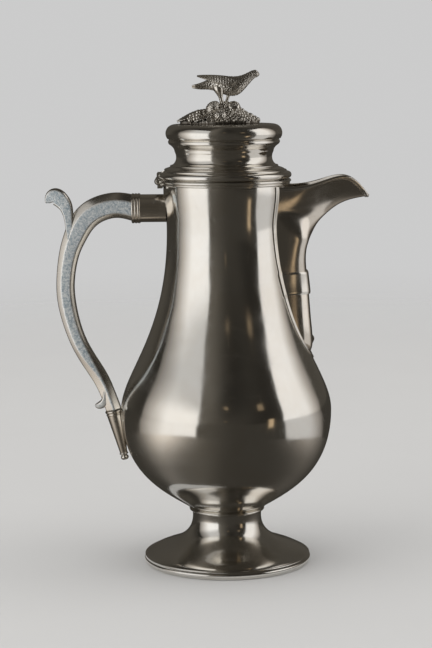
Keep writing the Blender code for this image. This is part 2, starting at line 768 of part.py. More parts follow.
def hinge_leaf(name, spans, other_spans, low, high, parent, finish):
    # a leaf let into the moulding, with its own knuckles added and the others' cleared
    half = HINGE_LENGTH / 2
    leaf = block(name, (low[0], -half, low[1]), (high[0], half, high[1]), finish, parent)
    axis = (-HINGE_AXIS_RADIUS, HINGE_AXIS_Z)
    for i, (start, end) in enumerate(other_spans):
        space = rod(f"{name}_space_{i + 1}", (axis[0], start - KNUCKLE_GAP, axis[1]),
                    (axis[0], end + KNUCKLE_GAP, axis[1]), KNUCKLE_RADIUS + SEAM_GAP, parent=parent,
                    steps=KNUCKLE_STEPS)
        cut(leaf, space)
    for i, (start, end) in enumerate(spans):
        knuckle = rod(f"{name}_knuckle_{i + 1}", (axis[0], start, axis[1]),
                      (axis[0], end, axis[1]), KNUCKLE_RADIUS, parent=parent, steps=KNUCKLE_STEPS)
        unite(leaf, knuckle)
    bore = rod(f"{name}_bore", (axis[0], -HINGE_LENGTH, axis[1]), (axis[0], HINGE_LENGTH, axis[1]),
               HINGE_PIN_RADIUS + SEAM_GAP / 2, parent=parent, steps=KNUCKLE_STEPS)
    cut(leaf, bore)
    return leaf


def make_hinge():
    spans = knuckle_spans()
    body_side = spans[0::2]
    lid_side = spans[1::2]
    near = -(MOUTH_RADIUS + SEAM_GAP)
    low = HINGE_AXIS_Z - BODY_LEAF_DEPTH
    middle = HINGE_AXIS_Z - KNUCKLE_RADIUS / 2
    face = -(HINGE_AXIS_RADIUS + KNUCKLE_RADIUS * 0.2)
    hinge_leaf("hinge_body_leaf", body_side, lid_side, (face, low),
               (near, middle), POT_AXIS, "polished")
    lid_low = LID_SEAT_Z
    lid_high = lid_low + LID_LEAF_HEIGHT
    lid_face = -(HINGE_AXIS_RADIUS + KNUCKLE_RADIUS * 0.35)
    hinge_leaf("hinge_lid_leaf", lid_side, body_side, (lid_face, lid_low),
               (near - SEAM_GAP / 2, lid_high), LID_HINGE, "polished")
    # the pin has a low turned head at one end
    half = HINGE_LENGTH / 2
    head = half + HINGE_PIN_HEAD_LENGTH
    outline = [
        (0, head),
        (HINGE_PIN_HEAD_RADIUS * 0.7, head),
        (HINGE_PIN_HEAD_RADIUS, half + HINGE_PIN_HEAD_LENGTH * 0.5),
        (HINGE_PIN_HEAD_RADIUS, half + KNUCKLE_GAP),
        (HINGE_PIN_RADIUS, half + KNUCKLE_GAP),
        (HINGE_PIN_RADIUS, -half),
        (0, -half),
    ]
    pin = turned("hinge_pin", outline, "polished", steps=KNUCKLE_STEPS, closed=False)
    pin.location = (-HINGE_AXIS_RADIUS, 0, HINGE_AXIS_Z)
    pin.rotation_euler = (math.radians(90), 0, 0)


# Spout

def spout_station(place):
    # keel point, joint height and half width at a place from bottom (0) to lip (1)
    stand_off, keel_z, joint_z, width = value_on(SPOUT_STATION_SHARES, place)
    height = SPOUT_TOP_Z - SPOUT_BOTTOM_Z
    keel_z = SPOUT_BOTTOM_Z + keel_z * height
    keel_x = body_radius(keel_z) + stand_off * (SPOUT_REACH - MOUTH_RADIUS)
    return keel_x, keel_z, SPOUT_BOTTOM_Z + joint_z * height, max(width, 0) * SPOUT_HALF_WIDTH


def place_at_height(z):
    # the place on the spout, by halving, whose joint lies at a height
    low = 0.0
    high = 1.0
    for _ in range(HALVINGS):
        middle = (low + high) / 2
        if spout_station(middle)[2] < z:
            low = middle
        else:
            high = middle
    return low


def eased(low, high, value):
    # from 0 to 1 between two values, level at both ends
    t = min(max((value - low) / (high - low), 0.0), 1.0)
    return t * t * (3 - 2 * t)


def nose_share(side, place):
    # how far back from the keel a point lies: a power of the side gives a full round; in the
    # beak and the drop a hyperbola gives straight flanks and a rounded nose
    n = SPOUT_NOSE_SHARE
    folded = (math.sqrt(side * side + n * n) - n) / (math.sqrt(1 + n * n) - n)
    fold = max(eased(*BEAK_START_SHARES, place), 1 - eased(*DROP_END_SHARES, place))
    return blend(side ** SPOUT_ROUND_SHARE, folded, fold)


def spout_point(side, place):
    # side runs from -1 to 1 across the section, from joint to joint
    keel_x, keel_z, joint_z, width = spout_station(place)
    joint_x = on_body(width, joint_z, SEAM_GAP).x
    forward = 1 - nose_share(abs(side), place)
    hump_place = max(0.0, (place - SPOUT_HUMP_START_SHARE) / (1 - SPOUT_HUMP_START_SHARE))
    hump = SPOUT_LIP_HUMP * math.sin(math.pi * forward ** SPOUT_LIP_SKEW_SHARE) * hump_place ** 3
    return Vector((blend(joint_x, keel_x, forward), width * side,
                   blend(joint_z, keel_z, forward) + hump))


def eased_sides(count):
    # places across a section, closer together round the nose
    raw = [-1 + 2 * i / count for i in range(count + 1)]
    return [math.copysign(abs(side) ** 1.25, side) for side in raw]


def rooted(section):
    # a section's two ends are carried on into the body, to be trimmed by its envelope
    root = Vector((SPOUT_ROOT_DEPTH, 0, 0))
    return [section[0] - root] + section + [section[-1] - root]


def spout_section(place):
    return rooted([spout_point(side, place) for side in eased_sides(SPOUT_SIDE_STEPS)])


def make_spout(envelope):
    split = place_at_height(SPOUT_TIP_SPLIT_Z + SEAM_GAP)
    places = [blend(split, 1, i / SPOUT_RISE_STEPS) for i in range(SPOUT_RISE_STEPS + 1)]
    sections = [spout_section(place) for place in places]
    shell = lofted("spout_shell", sections, "warm", capped=False, wrapped=False)
    wall = shell.modifiers.new("Wall", 'SOLIDIFY')
    wall.thickness = SPOUT_WALL
    wall.offset = -1
    wall.use_even_offset = True
    wall.use_rim = True
    cut(shell, envelope)
    make_spout_tip(envelope)
    make_spout_flange()
    make_spout_band(envelope)
    make_spout_strap(envelope)


def make_spout_tip(envelope):
    # the spout's solid lower end: a pointed drop with a small bead on its keel
    split = place_at_height(SPOUT_TIP_SPLIT_Z)
    sections = []
    for i in range(SPOUT_TIP_STEPS + 1):
        place = blend(split, SPOUT_TIP_END_SHARE, i / SPOUT_TIP_STEPS)
        section = spout_section(place)
        for point in section:
            off = (point.z - SPOUT_TIP_BEAD_Z) / SPOUT_TIP_BEAD_HALF_HEIGHT
            nose = 1 - abs(point.y) / (SPOUT_HALF_WIDTH * SPOUT_TIP_NOSE_SHARE)
            point.x += SPOUT_TIP_BEAD * max(0.0, 1 - off * off) * max(0.0, nose)
        sections.append(section)
    tip = lofted("spout_tip", sections, "warm")
    cut(tip, envelope)
    return tip


def spout_edge(count):
    # the joint's outline on the body, from the lip's left end round the tip to its right end
    run = [spout_station(i / count) for i in range(count + 1)]
    left = [(-width, z) for _, _, z, width in run[::-1]]
    right = [(width, z) for _, _, z, width in run[1:]]
    return left + right


def make_spout_flange():
    # a half-round moulding on the body along the spout's joint
    edge = spout_edge(SPOUT_EDGE_STEPS)
    profile = ((0.0, 0.0), (0.0, 0.65), (0.30, 1.0), (0.70, 1.0), (1.0, 0.55), (1.0, 0.0))
    sections = []
    for i, (y, z) in enumerate(edge):
        before = edge[max(i - 1, 0)]
        after = edge[min(i + 1, len(edge) - 1)]
        along = Vector((after[0] - before[0], after[1] - before[1])).normalized()
        out = Vector((along.y, -along.x))
        section = []
        for across, lift in profile:
            step = SEAM_GAP + across * SPOUT_FLANGE_WIDTH
            section.append(on_body(y + out.x * step, z + out.y * step,
                                   SEAM_GAP + lift * SPOUT_FLANGE_THICKNESS))
        sections.append(section)
    return lofted("spout_flange", sections, "polished")


def outward(side, place):
    # the spout's surface normal, from two short steps along the surface
    step = SPOUT_PROBE_SHARE
    across = spout_point(min(side + step, 1), place) - spout_point(max(side - step, -1), place)
    along = spout_point(side, min(place + step, 1)) - spout_point(side, place - step)
    normal = across.cross(along).normalized()
    return normal if normal.x > 0 or abs(normal.y) > 0.9 and normal.y * side > 0 else -normal


def make_spout_band(envelope):
    # a thin applied band just under the lip's edge
    sections = []
    for side in eased_sides(SPOUT_SIDE_STEPS * 2):
        top = spout_point(side, 1)
        down = (spout_point(side, 1 - SPOUT_PROBE_SHARE) - top).normalized()
        out = outward(side, 1 - SPOUT_PROBE_SHARE)
        inner = SEAM_GAP
        outer = SEAM_GAP + SPOUT_BAND_THICKNESS
        foot = top + down * SPOUT_BAND_HEIGHT
        sections.append([top + out * inner, top + out * outer,
                         foot + out * outer, foot + out * inner])
    band = lofted("spout_rim_band", sections, "polished")
    cut(band, envelope, FLANGE_SPACE)
    return band


def make_spout_strap(envelope):
    # a plain strap round the spout whose ends lie over the flange on the body
    corners = []
    for z, lift in ((STRAP_LOW_Z, 0), (STRAP_LOW_Z, 1), (STRAP_HIGH_Z, 1), (STRAP_HIGH_Z, 0)):
        place = place_at_height(z)
        line = []
        for side in eased_sides(SPOUT_SIDE_STEPS):
            out = outward(side, place)
            out.z = 0
            out.normalize()
            line.append(spout_point(side, place) + out * (SEAM_GAP + lift * STRAP_THICKNESS))
        corners.append(rooted(line))
    sections = list(zip(*corners))
    strap = lofted("spout_strap", sections, "polished")
    cut(strap, envelope, FLANGE_SPACE)
    return strap


def make_flange_space():
    # the flange's own room, a seam's gap wider: it trims the strap's ends
    edge = spout_edge(SPOUT_EDGE_STEPS)
    sections = []
    for i, (y, z) in enumerate(edge):
        before = edge[max(i - 1, 0)]
        after = edge[min(i + 1, len(edge) - 1)]
        along = Vector((after[0] - before[0], after[1] - before[1])).normalized()
        out = Vector((along.y, -along.x))
        high = SPOUT_FLANGE_THICKNESS + 2 * SEAM_GAP
        wide = SPOUT_FLANGE_WIDTH + CUTTER_OVERRUN
        section = []
        for across, lift in ((0, -SPOUT_WALL), (0, high), (wide, high), (wide, -SPOUT_WALL)):
            section.append(on_body(y + out.x * across, z + out.y * across, lift))
        sections.append(section)
    return lofted("spout_flange_space_cutter", sections)


# Sockets

def upper_mouth_x():
    return body_radius(UPPER_SOCKET_Z) + UPPER_SOCKET_LENGTH


def lie_along_minus_x(item, x, z):
    # a turned piece's own +Z, from its root to its mouth, is laid along -X
    item.location = (x, 0, z)
    item.rotation_euler = (0, math.radians(-90), 0)


def make_upper_socket(envelope):
    mouth = upper_mouth_x()
    root = body_radius(UPPER_SOCKET_Z) - CUTTER_OVERRUN
    length = mouth - root - UPPER_COLLAR_LENGTH / 2
    bore = UPPER_SOCKET_RADIUS - UPPER_SOCKET_WALL
    outline = [(UPPER_SOCKET_RADIUS, length), (UPPER_SOCKET_RADIUS, 0), (bore, 0), (bore, length)]
    socket = turned("upper_socket", outline, "warm", steps=FINE_STEPS)
    lie_along_minus_x(socket, -root, UPPER_SOCKET_Z)
    cut(socket, envelope, UPPER_PIN_HOLE)

    reed = UPPER_COLLAR_LENGTH / UPPER_COLLAR_REEDS
    start = length + SEAM_GAP
    deep = UPPER_SOCKET_RADIUS - (UPPER_COLLAR_RADIUS - UPPER_SOCKET_RADIUS) / 2
    outer = []
    for i in range(UPPER_COLLAR_REEDS):
        base = start + UPPER_COLLAR_LENGTH - i * reed
        outer += [(deep, base), (UPPER_COLLAR_RADIUS, base - reed * 0.3),
                  (UPPER_COLLAR_RADIUS, base - reed * 0.7)]
    outline = outer + [(deep, start), (bore, start), (bore, start + UPPER_COLLAR_LENGTH)]
    collar = turned("upper_socket_collar", outline, "polished", steps=FINE_STEPS)
    lie_along_minus_x(collar, -root, UPPER_SOCKET_Z)
    return root + start + UPPER_COLLAR_LENGTH


def upper_pin_points(inner, outer):
    x = -(body_radius(UPPER_SOCKET_Z) + PIN_DISTANCE)
    direction = Vector((0, -math.cos(PIN_TILT), math.sin(PIN_TILT)))
    centre = Vector((x, 0, UPPER_SOCKET_Z))
    return centre + direction * inner, centre + direction * outer


def make_upper_pin():
    inner = UPPER_SOCKET_RADIUS * 0.35
    start, end = upper_pin_points(inner, UPPER_SOCKET_RADIUS + PIN_HEAD_PROUD)
    rod("upper_handle_pin", start, end, PIN_RADIUS, finish="polished", steps=PIN_STEPS)


def upper_pin_hole():
    start, end = upper_pin_points(UPPER_SOCKET_RADIUS * 0.3, UPPER_SOCKET_RADIUS + CUTTER_OVERRUN)
    return rod("upper_pin_hole_cutter", start, end, PIN_RADIUS + SEAM_GAP, steps=PIN_STEPS)


def lower_axis_point(distance):
    # down the lower socket's leaning axis from its mouth
    return Vector((-LOWER_SOCKET_X + math.sin(LOWER_LEAN) * distance, 0,
                   BELLY_Z - math.cos(LOWER_LEAN) * distance))


def stand_on_lower_axis(item):
    item.location = lower_axis_point(0)
    item.rotation_euler = (0, -LOWER_LEAN, 0)


def make_lower_socket(envelope):
    top = -LOWER_COLLAR_HEIGHT - SEAM_GAP
    bottom = top - LOWER_SOCKET_LENGTH
    bore = LOWER_SOCKET_RADIUS - LOWER_SOCKET_WALL
    bore_end = bore * 0.72
    deep = -LOWER_SOCKET_BORE_DEPTH
    outline = [(LOWER_SOCKET_RADIUS, top), (LOWER_SOCKET_END_RADIUS, bottom), (0, bottom),
               (0, deep), (bore_end, deep), (bore, top)]
    socket = turned("lower_socket", outline, "warm", steps=FINE_STEPS)
    stand_on_lower_axis(socket)
    cut(socket, envelope, LOWER_PIN_HOLE)

    tall = LOWER_COLLAR_HEIGHT
    groove = LOWER_SOCKET_RADIUS * 0.92
    outline = [
        (LOWER_COLLAR_RADIUS * 0.93, 0),
        (LOWER_COLLAR_RADIUS, -tall * 0.12),
        (LOWER_COLLAR_RADIUS, -tall * 0.40),
        (groove, -tall * 0.54),
        (LOWER_COLLAR_RADIUS * 0.93, -tall * 0.66),
        (LOWER_COLLAR_RADIUS * 0.93, -tall * 0.88),
        (groove, -tall),
        (bore, -tall),
        (bore, 0),
    ]
    collar = turned("lower_socket_collar", outline, "warm", steps=FINE_STEPS)
    stand_on_lower_axis(collar)
    cut(collar, envelope)

    start = bottom - SEAM_GAP
    height = BUTTON_HEIGHT
    outline = [
        (0, start),
        (BUTTON_RING_RADIUS * 0.85, start),
        (BUTTON_RING_RADIUS, start - height * 0.12),
        (BUTTON_RING_RADIUS, start - height * 0.28),
        (BUTTON_RING_RADIUS * 0.70, start - height * 0.42),
    ]
    outline += arc((BUTTON_RING_RADIUS * 0.35, start - height * 0.70), BUTTON_RING_RADIUS * 0.52, 50, -80, 4)
    outline += [(0, start - height)]
    button = turned("lower_socket_button", outline, "polished", steps=FINE_STEPS, closed=False)
    stand_on_lower_axis(button)
    cut(button, envelope)


def lower_pin_points(inner, outer):
    centre = lower_axis_point(LOWER_COLLAR_HEIGHT + LOWER_TENON_LENGTH * 0.35)
    direction = Vector((0, -1, 0))
    return centre + direction * inner, centre + direction * outer


def make_lower_pin():
    start, end = lower_pin_points(LOWER_SOCKET_RADIUS * 0.2, LOWER_SOCKET_RADIUS)
    rod("lower_handle_pin", start, end, LOWER_PIN_RADIUS, finish="polished", steps=PIN_STEPS)


def lower_pin_hole():
    start, end = lower_pin_points(0, LOWER_SOCKET_RADIUS + CUTTER_OVERRUN)
    return rod("lower_pin_hole_cutter", start, end, LOWER_PIN_RADIUS + SEAM_GAP, steps=PIN_STEPS)


# Handle

def chamfered_section(centre, normal, depth, thickness, outer_chamfer, inner_chamfer):
    # an eight-sided section: normal points to the handle's outer edge, Y is its thickness
    a = depth / 2
    b = thickness / 2
    across = [
        (a, b - outer_chamfer), (a - outer_chamfer, b), (inner_chamfer - a, b), (-a, b - inner_chamfer),
        (-a, inner_chamfer - b), (inner_chamfer - a, -b), (a - outer_chamfer, -b), (a, outer_chamfer - b),
    ]
    return [centre + normal * n + Vector((0, y, 0)) for n, y in across]


def swept_bar(name, line, finish=None, leave=None, arrive=None):
    # line holds (x, z, depth, thickness, outer chamfer, inner chamfer); leave and arrive
    # are the directions that its two end faces look along
    sections = []
    for i, (x, z, depth, thickness, outer, inner) in enumerate(line):
        before = line[max(i - 1, 0)]
        after = line[min(i + 1, len(line) - 1)]
        along = Vector((after[0] - before[0], 0, after[1] - before[1])).normalized()
        if leave and i == 0:
            along = leave
        if arrive and i == len(line) - 1:
            along = arrive
        normal = Vector((along.z, 0, -along.x))
        sections.append(chamfered_section(Vector((x, 0, z)), normal, depth, thickness, outer, inner))
    return lofted(name, sections, finish)


def handle_line(mouth_x):
    low_end = lower_axis_point(-SEAM_GAP)
    span = UPPER_SOCKET_Z - BELLY_Z
    points = [(-mouth_x, UPPER_SOCKET_Z, HANDLE_DEPTH)]
    for near, stations in ((mouth_x, HANDLE_ARCH_SHARES), (-low_end.x, HANDLE_FALL_SHARES)):
        for out, up, depth in stations:
            x = -blend(near, HANDLE_REACH, out)
            points.append((x, BELLY_Z + span * up, HANDLE_DEPTH * depth))
    points.append((low_end.x, low_end.z, HANDLE_DEPTH * HANDLE_END_DEPTH_SHARE))
    smooth = smooth_through(points, HANDLE_STEPS)
    line = []
    for i, (x, z, depth) in enumerate(smooth):
        thickness = blend(HANDLE_TOP_THICKNESS, HANDLE_FOOT_THICKNESS, i / (len(smooth) - 1))
        line.append((x, z, depth, thickness, depth * OUTER_CHAMFER_SHARE, depth * INNER_CHAMFER_SHARE))
    return line


def side_line(shares, root, projection, depth, thickness, chamfer_share):
    # a scroll's line: its end face stands out from the root, its heights run as the handle's do
    span = UPPER_SOCKET_Z - BELLY_Z
    run = projection - depth * shares[-1][2] / 2
    points = [(-root - run * out, BELLY_Z + span * up, depth * deep) for out, up, deep in shares]
    smooth = smooth_through(points, SCROLL_STEPS)
    return [(x, z, d, thickness, d * chamfer_share, d * chamfer_share) for x, z, d in smooth]


def make_handle(mouth_x):
    start = mouth_x + SEAM_GAP
    down_socket = Vector((math.sin(LOWER_LEAN), 0, -math.cos(LOWER_LEAN)))
    handle = swept_bar("handle", handle_line(start), "brushed", Vector((-1, 0, 0)), down_socket)
    scroll = swept_bar("thumb_scroll_form", side_line(
        SCROLL_STATION_SHARES, HANDLE_REACH, SCROLL_PROJECTION, SCROLL_DEPTH, SCROLL_THICKNESS,
        SCROLL_CHAMFER_SHARE),
        arrive=Vector((0, 0, -1)))
    toe = swept_bar("toe_form", side_line(
        TOE_STATION_SHARES, LOWER_SOCKET_X, TOE_PROJECTION, TOE_DEPTH, TOE_THICKNESS,
        SCROLL_CHAMFER_SHARE))
    bore = UPPER_SOCKET_RADIUS - UPPER_SOCKET_WALL - TENON_CLEARANCE
    tenon = rod("upper_tenon_form", (-start - SEAM_GAP, 0, UPPER_SOCKET_Z),
                (-start + UPPER_TENON_LENGTH, 0, UPPER_SOCKET_Z), bore)
    low_bore = (LOWER_SOCKET_RADIUS - LOWER_SOCKET_WALL - TENON_CLEARANCE)
    low_tenon = rod("lower_tenon_form", lower_axis_point(-SEAM_GAP * 2),
                    lower_axis_point(LOWER_COLLAR_HEIGHT + LOWER_TENON_LENGTH), low_bore, low_bore * 0.70)
    unite(handle, scroll, toe, tenon, low_tenon)
    cut(handle, UPPER_PIN_HOLE, LOWER_PIN_HOLE)
    return handle


# Finial

def mound_rise(x, y, out):
    # a flat top for the bird, sides that fall to the edge, and soft lumps
    rise = min(1.0, (1 - out) / (1 - MOUND_TOP_SHARE)) ** MOUND_SIDE_SHARE
    fade = (1 - out ** 4) * min(1.0, max(0.0, out / MOUND_TOP_SHARE - 1))
    if fade > 0:
        for along, across, spread, height in MOUND_LUMP_SHARES:
            centre_x = along * (MOUND_LEFT if along < 0 else MOUND_RIGHT)
            apart = math.hypot(x - centre_x, y - across * MOUND_HALF_WIDTH)
            rise += height * math.exp(-(apart / (spread * MOUND_RIGHT)) ** 2) * fade
    return rise


def make_mound():
    base = LID_TOP_Z + LID_CROWN_RISE + SEAM_GAP
    build = bmesh.new()
    rings = []
    for i in range(1, MOUND_RINGS + 1):
        out = i / MOUND_RINGS
        ring = []
        for j in range(MOUND_SPOKES):
            angle = 2 * math.pi * j / MOUND_SPOKES
            lobe = 1 - MOUND_LOBE_SHARE * (1 - math.cos(MOUND_LOBES * angle)) * out
            reach = (MOUND_RIGHT - LEG_X) if math.cos(angle) > 0 else (MOUND_LEFT + LEG_X)
            x = LEG_X + out * reach * math.cos(angle) * lobe
            y = out * MOUND_HALF_WIDTH * math.sin(angle) * lobe
            rise = MOUND_EDGE_HEIGHT + (MOUND_HEIGHT - MOUND_EDGE_HEIGHT) * mound_rise(x, y, out)
            ring.append(build.verts.new((x, y, base + rise)))
        rings.append(ring)
    top = build.verts.new((LEG_X, 0, base + MOUND_HEIGHT))
    rings.append([build.verts.new((v.co.x, v.co.y, base)) for v in rings[-1]])
    count = MOUND_SPOKES
    for j in range(count):
        build.faces.new((top, rings[0][j], rings[0][(j + 1) % count]))
        for inner, outer in zip(rings, rings[1:]):
            build.faces.new((inner[j], outer[j], outer[(j + 1) % count], inner[(j + 1) % count]))
    build.faces.new(rings[-1][::-1])
    bmesh.ops.recalc_face_normals(build, faces=build.faces)
    mesh = bpy.data.meshes.new("finial_mound")
    build.to_mesh(mesh)
    build.free()
    mound = add_object("finial_mound", mesh, "cast", LID_HINGE)
    smooth_faces(mound, 60)
    return mound


def make_bird():
    sections = []
    for along, middle, half_height, half_width in smooth_through(BIRD_STATION_SHARES, 2):
        x = BIRD_TAIL_X + along * BIRD_LENGTH
        z = BIRD_BELLY_Z + middle * BIRD_HEIGHT
        high = max(half_height * BIRD_HEIGHT, SEAM_GAP)
        wide = max(half_width * BIRD_HALF_WIDTH, SEAM_GAP)
        sections.append([
            (x, wide * math.cos(2 * math.pi * k / BIRD_SECTION_POINTS),
             z + high * math.sin(2 * math.pi * k / BIRD_SECTION_POINTS))
            for k in range(BIRD_SECTION_POINTS)])
    bird = lofted("finial_bird", sections, "cast", LID_HINGE)
    foot_z = LID_TOP_Z + LID_CROWN_RISE + 2 * SEAM_GAP + MOUND_HEIGHT
    for name, y in (("left_leg_form", LEG_SPACING / 2), ("right_leg_form", -LEG_SPACING / 2)):
        leg = rod(name, (LEG_X, y, foot_z), (LEG_X, y, BIRD_BELLY_Z + BIRD_HEIGHT * 0.3),
                  LEG_FOOT_RADIUS, LEG_TOP_RADIUS, parent=LID_HINGE, steps=10)
        unite(bird, leg)
    return bird


def make_wing(name, side):
    sections = []
    for along, drop, tall, spread in smooth_through(WING_STATION_SHARES, 2):
        x = WING_BACK_X + along * WING_LENGTH
        y = side * blend(WING_BACK_SPREAD, WING_FRONT_SPREAD, spread)
        high = tall * WING_HEIGHT
        top = WING_TOP_Z - drop * WING_HEIGHT
        thick = WING_THICKNESS
        sections.append([
            (x, y, top), (x, y + side * thick * 0.5, top - high * 0.15),
            (x, y + side * thick * 0.5, top - high * 0.80), (x, y, top - high),
            (x, y - side * thick * 0.5, top - high * 0.80), (x, y - side * thick * 0.5, top - high * 0.15),
        ])
    return lofted(name, sections, "cast", LID_HINGE)


def make_fastening():
    # the finial's stud passes through the lid's crown to a washer and a nut inside
    crown_under = LID_TOP_Z + LID_CROWN_RISE - LID_WALL
    washer_top = crown_under - SEAM_GAP
    washer_bottom = washer_top - WASHER_THICKNESS
    nut_top = washer_bottom - SEAM_GAP
    bore = STUD_RADIUS + STUD_CLEARANCE
    stud_top = LID_TOP_Z + LID_CROWN_RISE
    rod("finial_stud", (0, 0, stud_top), (0, 0, stud_top - STUD_LENGTH), STUD_RADIUS,
        finish="inside", parent=LID_HINGE, steps=PIN_STEPS)
    outline = [(WASHER_RADIUS, washer_top), (WASHER_RADIUS, washer_bottom),
               (bore, washer_bottom), (bore, washer_top)]
    turned("finial_washer", outline, "inside", LID_HINGE, steps=FINE_STEPS)
    nut = rod("finial_nut", (0, 0, nut_top), (0, 0, nut_top - NUT_HEIGHT), NUT_RADIUS,
              finish="inside", parent=LID_HINGE, steps=6)
    nut_bore = rod("nut_bore_cutter", (0, 0, nut_top + CUTTER_OVERRUN),
                   (0, 0, nut_top - NUT_HEIGHT - CUTTER_OVERRUN), bore, parent=LID_HINGE, steps=PIN_STEPS)
    cut(nut, nut_bore)


def make_finial():
    make_mound()
    make_fastening()
    make_bird()
    make_wing("bird_wing_left", 1)
    make_wing("bird_wing_right", -1)


# Assembly

empty_scene()
EWER = new_collection("covered_ewer")
CUTTERS = new_collection("covered_ewer_cutters")

POT_AXIS = bpy.data.objects.new("pot_axis", None)
POT_AXIS.location = (POT_AXIS_X, 0, 0)
EWER.objects.link(POT_AXIS)
LID_HINGE = bpy.data.objects.new("lid_hinge_axis", None)
LID_HINGE.parent = POT_AXIS
LID_HINGE.location = (-HINGE_AXIS_RADIUS, 0, HINGE_AXIS_Z)
EWER.objects.link(LID_HINGE)

HINGE_NOTCH = hinge_notch("mouth_rim_notch_cutter", RIM_BOTTOM_Z - CUTTER_OVERRUN,
                          MOUTH_TOP_Z + CUTTER_OVERRUN, POT_AXIS)
LID_NOTCH = hinge_notch("lid_flange_notch_cutter", LID_SEAT_Z - CUTTER_OVERRUN,
                        LID_SEAT_Z + LID_LEAF_HEIGHT + SEAM_GAP, LID_HINGE)
UPPER_PIN_HOLE = upper_pin_hole()
LOWER_PIN_HOLE = lower_pin_hole()
FLANGE_SPACE = make_flange_space()
ENVELOPE = make_envelope()

make_body()
make_mouth_rim()
make_foot()
make_lid()
make_hinge()
make_spout(ENVELOPE)
UPPER_MOUTH_X = make_upper_socket(ENVELOPE)
make_upper_pin()
make_lower_socket(ENVELOPE)
make_lower_pin()
make_handle(UPPER_MOUTH_X)
make_finial()
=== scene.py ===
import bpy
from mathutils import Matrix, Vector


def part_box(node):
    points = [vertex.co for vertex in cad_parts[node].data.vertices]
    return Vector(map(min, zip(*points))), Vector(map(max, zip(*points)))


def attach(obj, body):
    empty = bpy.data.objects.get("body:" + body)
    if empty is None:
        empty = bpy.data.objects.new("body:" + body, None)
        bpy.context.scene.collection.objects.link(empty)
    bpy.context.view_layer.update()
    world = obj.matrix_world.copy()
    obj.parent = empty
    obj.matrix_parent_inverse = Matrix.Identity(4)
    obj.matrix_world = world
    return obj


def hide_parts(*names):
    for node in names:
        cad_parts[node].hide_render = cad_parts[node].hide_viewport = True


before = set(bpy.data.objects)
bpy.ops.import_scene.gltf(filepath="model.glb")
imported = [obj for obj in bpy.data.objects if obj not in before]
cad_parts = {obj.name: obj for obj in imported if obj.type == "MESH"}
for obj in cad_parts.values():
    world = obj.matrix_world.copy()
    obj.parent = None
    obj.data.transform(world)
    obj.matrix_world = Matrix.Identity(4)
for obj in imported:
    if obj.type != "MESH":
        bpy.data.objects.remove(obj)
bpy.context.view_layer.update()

import math

import bpy
import numpy as np
from mathutils import Matrix

# lengths are in metres; shapes are drawn about the pot's own axis, which the frame places
potLow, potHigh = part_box("body_shell")
potX = (potLow.x + potHigh.x) / 2
finishes = {}


# curves, given as rows of points

def cubicCurve(start, leave, arrive, end, count):
    # a Bezier curve: its corners weighted by (1-t)^3, 3(1-t)^2 t, 3(1-t)t^2 and t^3
    t = np.linspace(0, 1, count)[:, None]
    s = 1 - t
    start, leave, arrive, end = (np.asarray(p, float) for p in (start, leave, arrive, end))
    return s ** 3 * start + 3 * s * s * t * leave + 3 * s * t * t * arrive + t ** 3 * end


def arcCurve(centre, radius, startDegrees, endDegrees, count):
    # centre + radius * (cos a, sin a), the angle running evenly
    a = np.radians(np.linspace(startDegrees, endDegrees, count))
    return np.column_stack([centre[0] + radius * np.cos(a), centre[1] + radius * np.sin(a)])


def joined(*parts):
    # stretches end to end, each meeting point kept once
    line = np.vstack([np.atleast_2d(np.asarray(part, float)) for part in parts])
    step = np.linalg.norm(np.diff(line, axis=0), axis=1)
    return line[np.concatenate([[True], step > 1e-7])]


def softCorners(corners, radius, steps=4, closed=False):
    # every corner becomes the parabola (1-t)^2 a + 2t(1-t) corner + t^2 b, where a and b lie
    # on its two edges, a radius away or near half the edge
    corners = np.asarray(corners, float)
    back = np.roll(corners, 1, -2) - corners
    ahead = np.roll(corners, -1, -2) - corners
    backLength = np.linalg.norm(back, axis=-1, keepdims=True) + 1e-12
    aheadLength = np.linalg.norm(ahead, axis=-1, keepdims=True) + 1e-12
    radius = np.asarray(radius, float)
    if radius.ndim:
        radius = radius[..., None]
    a = corners + back / backLength * np.minimum(radius, backLength * 0.48)
    b = corners + ahead / aheadLength * np.minimum(radius, aheadLength * 0.48)
    t = np.linspace(0, 1, steps)[:, None]
    a, b, c = (p[..., None, :] for p in (a, b, corners))
    soft = (1 - t) ** 2 * a + 2 * t * (1 - t) * c + t ** 2 * b
    soft = soft.reshape(*corners.shape[:-2], -1, corners.shape[-1])
    if closed:
        return soft
    return np.vstack([corners[0], soft[steps:-steps], corners[-1]])


def splineThrough(points, places):
    # natural cubic spline through evenly numbered points, read at places from 0 to 1: its
    # second derivatives solve the usual tridiagonal system, so its curvature has no jumps
    points = np.asarray(points, float)
    last = len(points) - 1
    system = np.diag(np.full(last + 1, 4.0)) + np.diag(np.ones(last), 1) + np.diag(np.ones(last), -1)
    system[0], system[-1] = np.eye(last + 1)[0], np.eye(last + 1)[-1]
    pull = np.zeros_like(points)
    pull[1:-1] = 6 * (points[2:] - 2 * points[1:-1] + points[:-2])
    bend = np.linalg.solve(system, pull)
    at = np.clip(np.asarray(places, float), 0, 1) * last
    i = np.minimum(at.astype(int), last - 1)
    t = (at - i)[..., None]
    s = 1 - t
    return (s * points[i] + t * points[i + 1]
            + ((s ** 3 - s) * bend[i] + (t ** 3 - t) * bend[i + 1]) / 6)


def evenly(line, count):
    # the same line with its points spread evenly along its length
    run = np.concatenate([[0], np.cumsum(np.linalg.norm(np.diff(line[:, :2], axis=0), axis=1))])
    at = np.linspace(0, run[-1], count)
    return np.column_stack([np.interp(at, run, column) for column in line.T])


def unit(vectors):
    return vectors / np.linalg.norm(vectors, axis=-1, keepdims=True)


def besideLine(line):
    # unit normals of a line in the plane: its direction turned a quarter
    step = unit(np.gradient(line, axis=0))
    return np.column_stack([step[:, 1], -step[:, 0]])


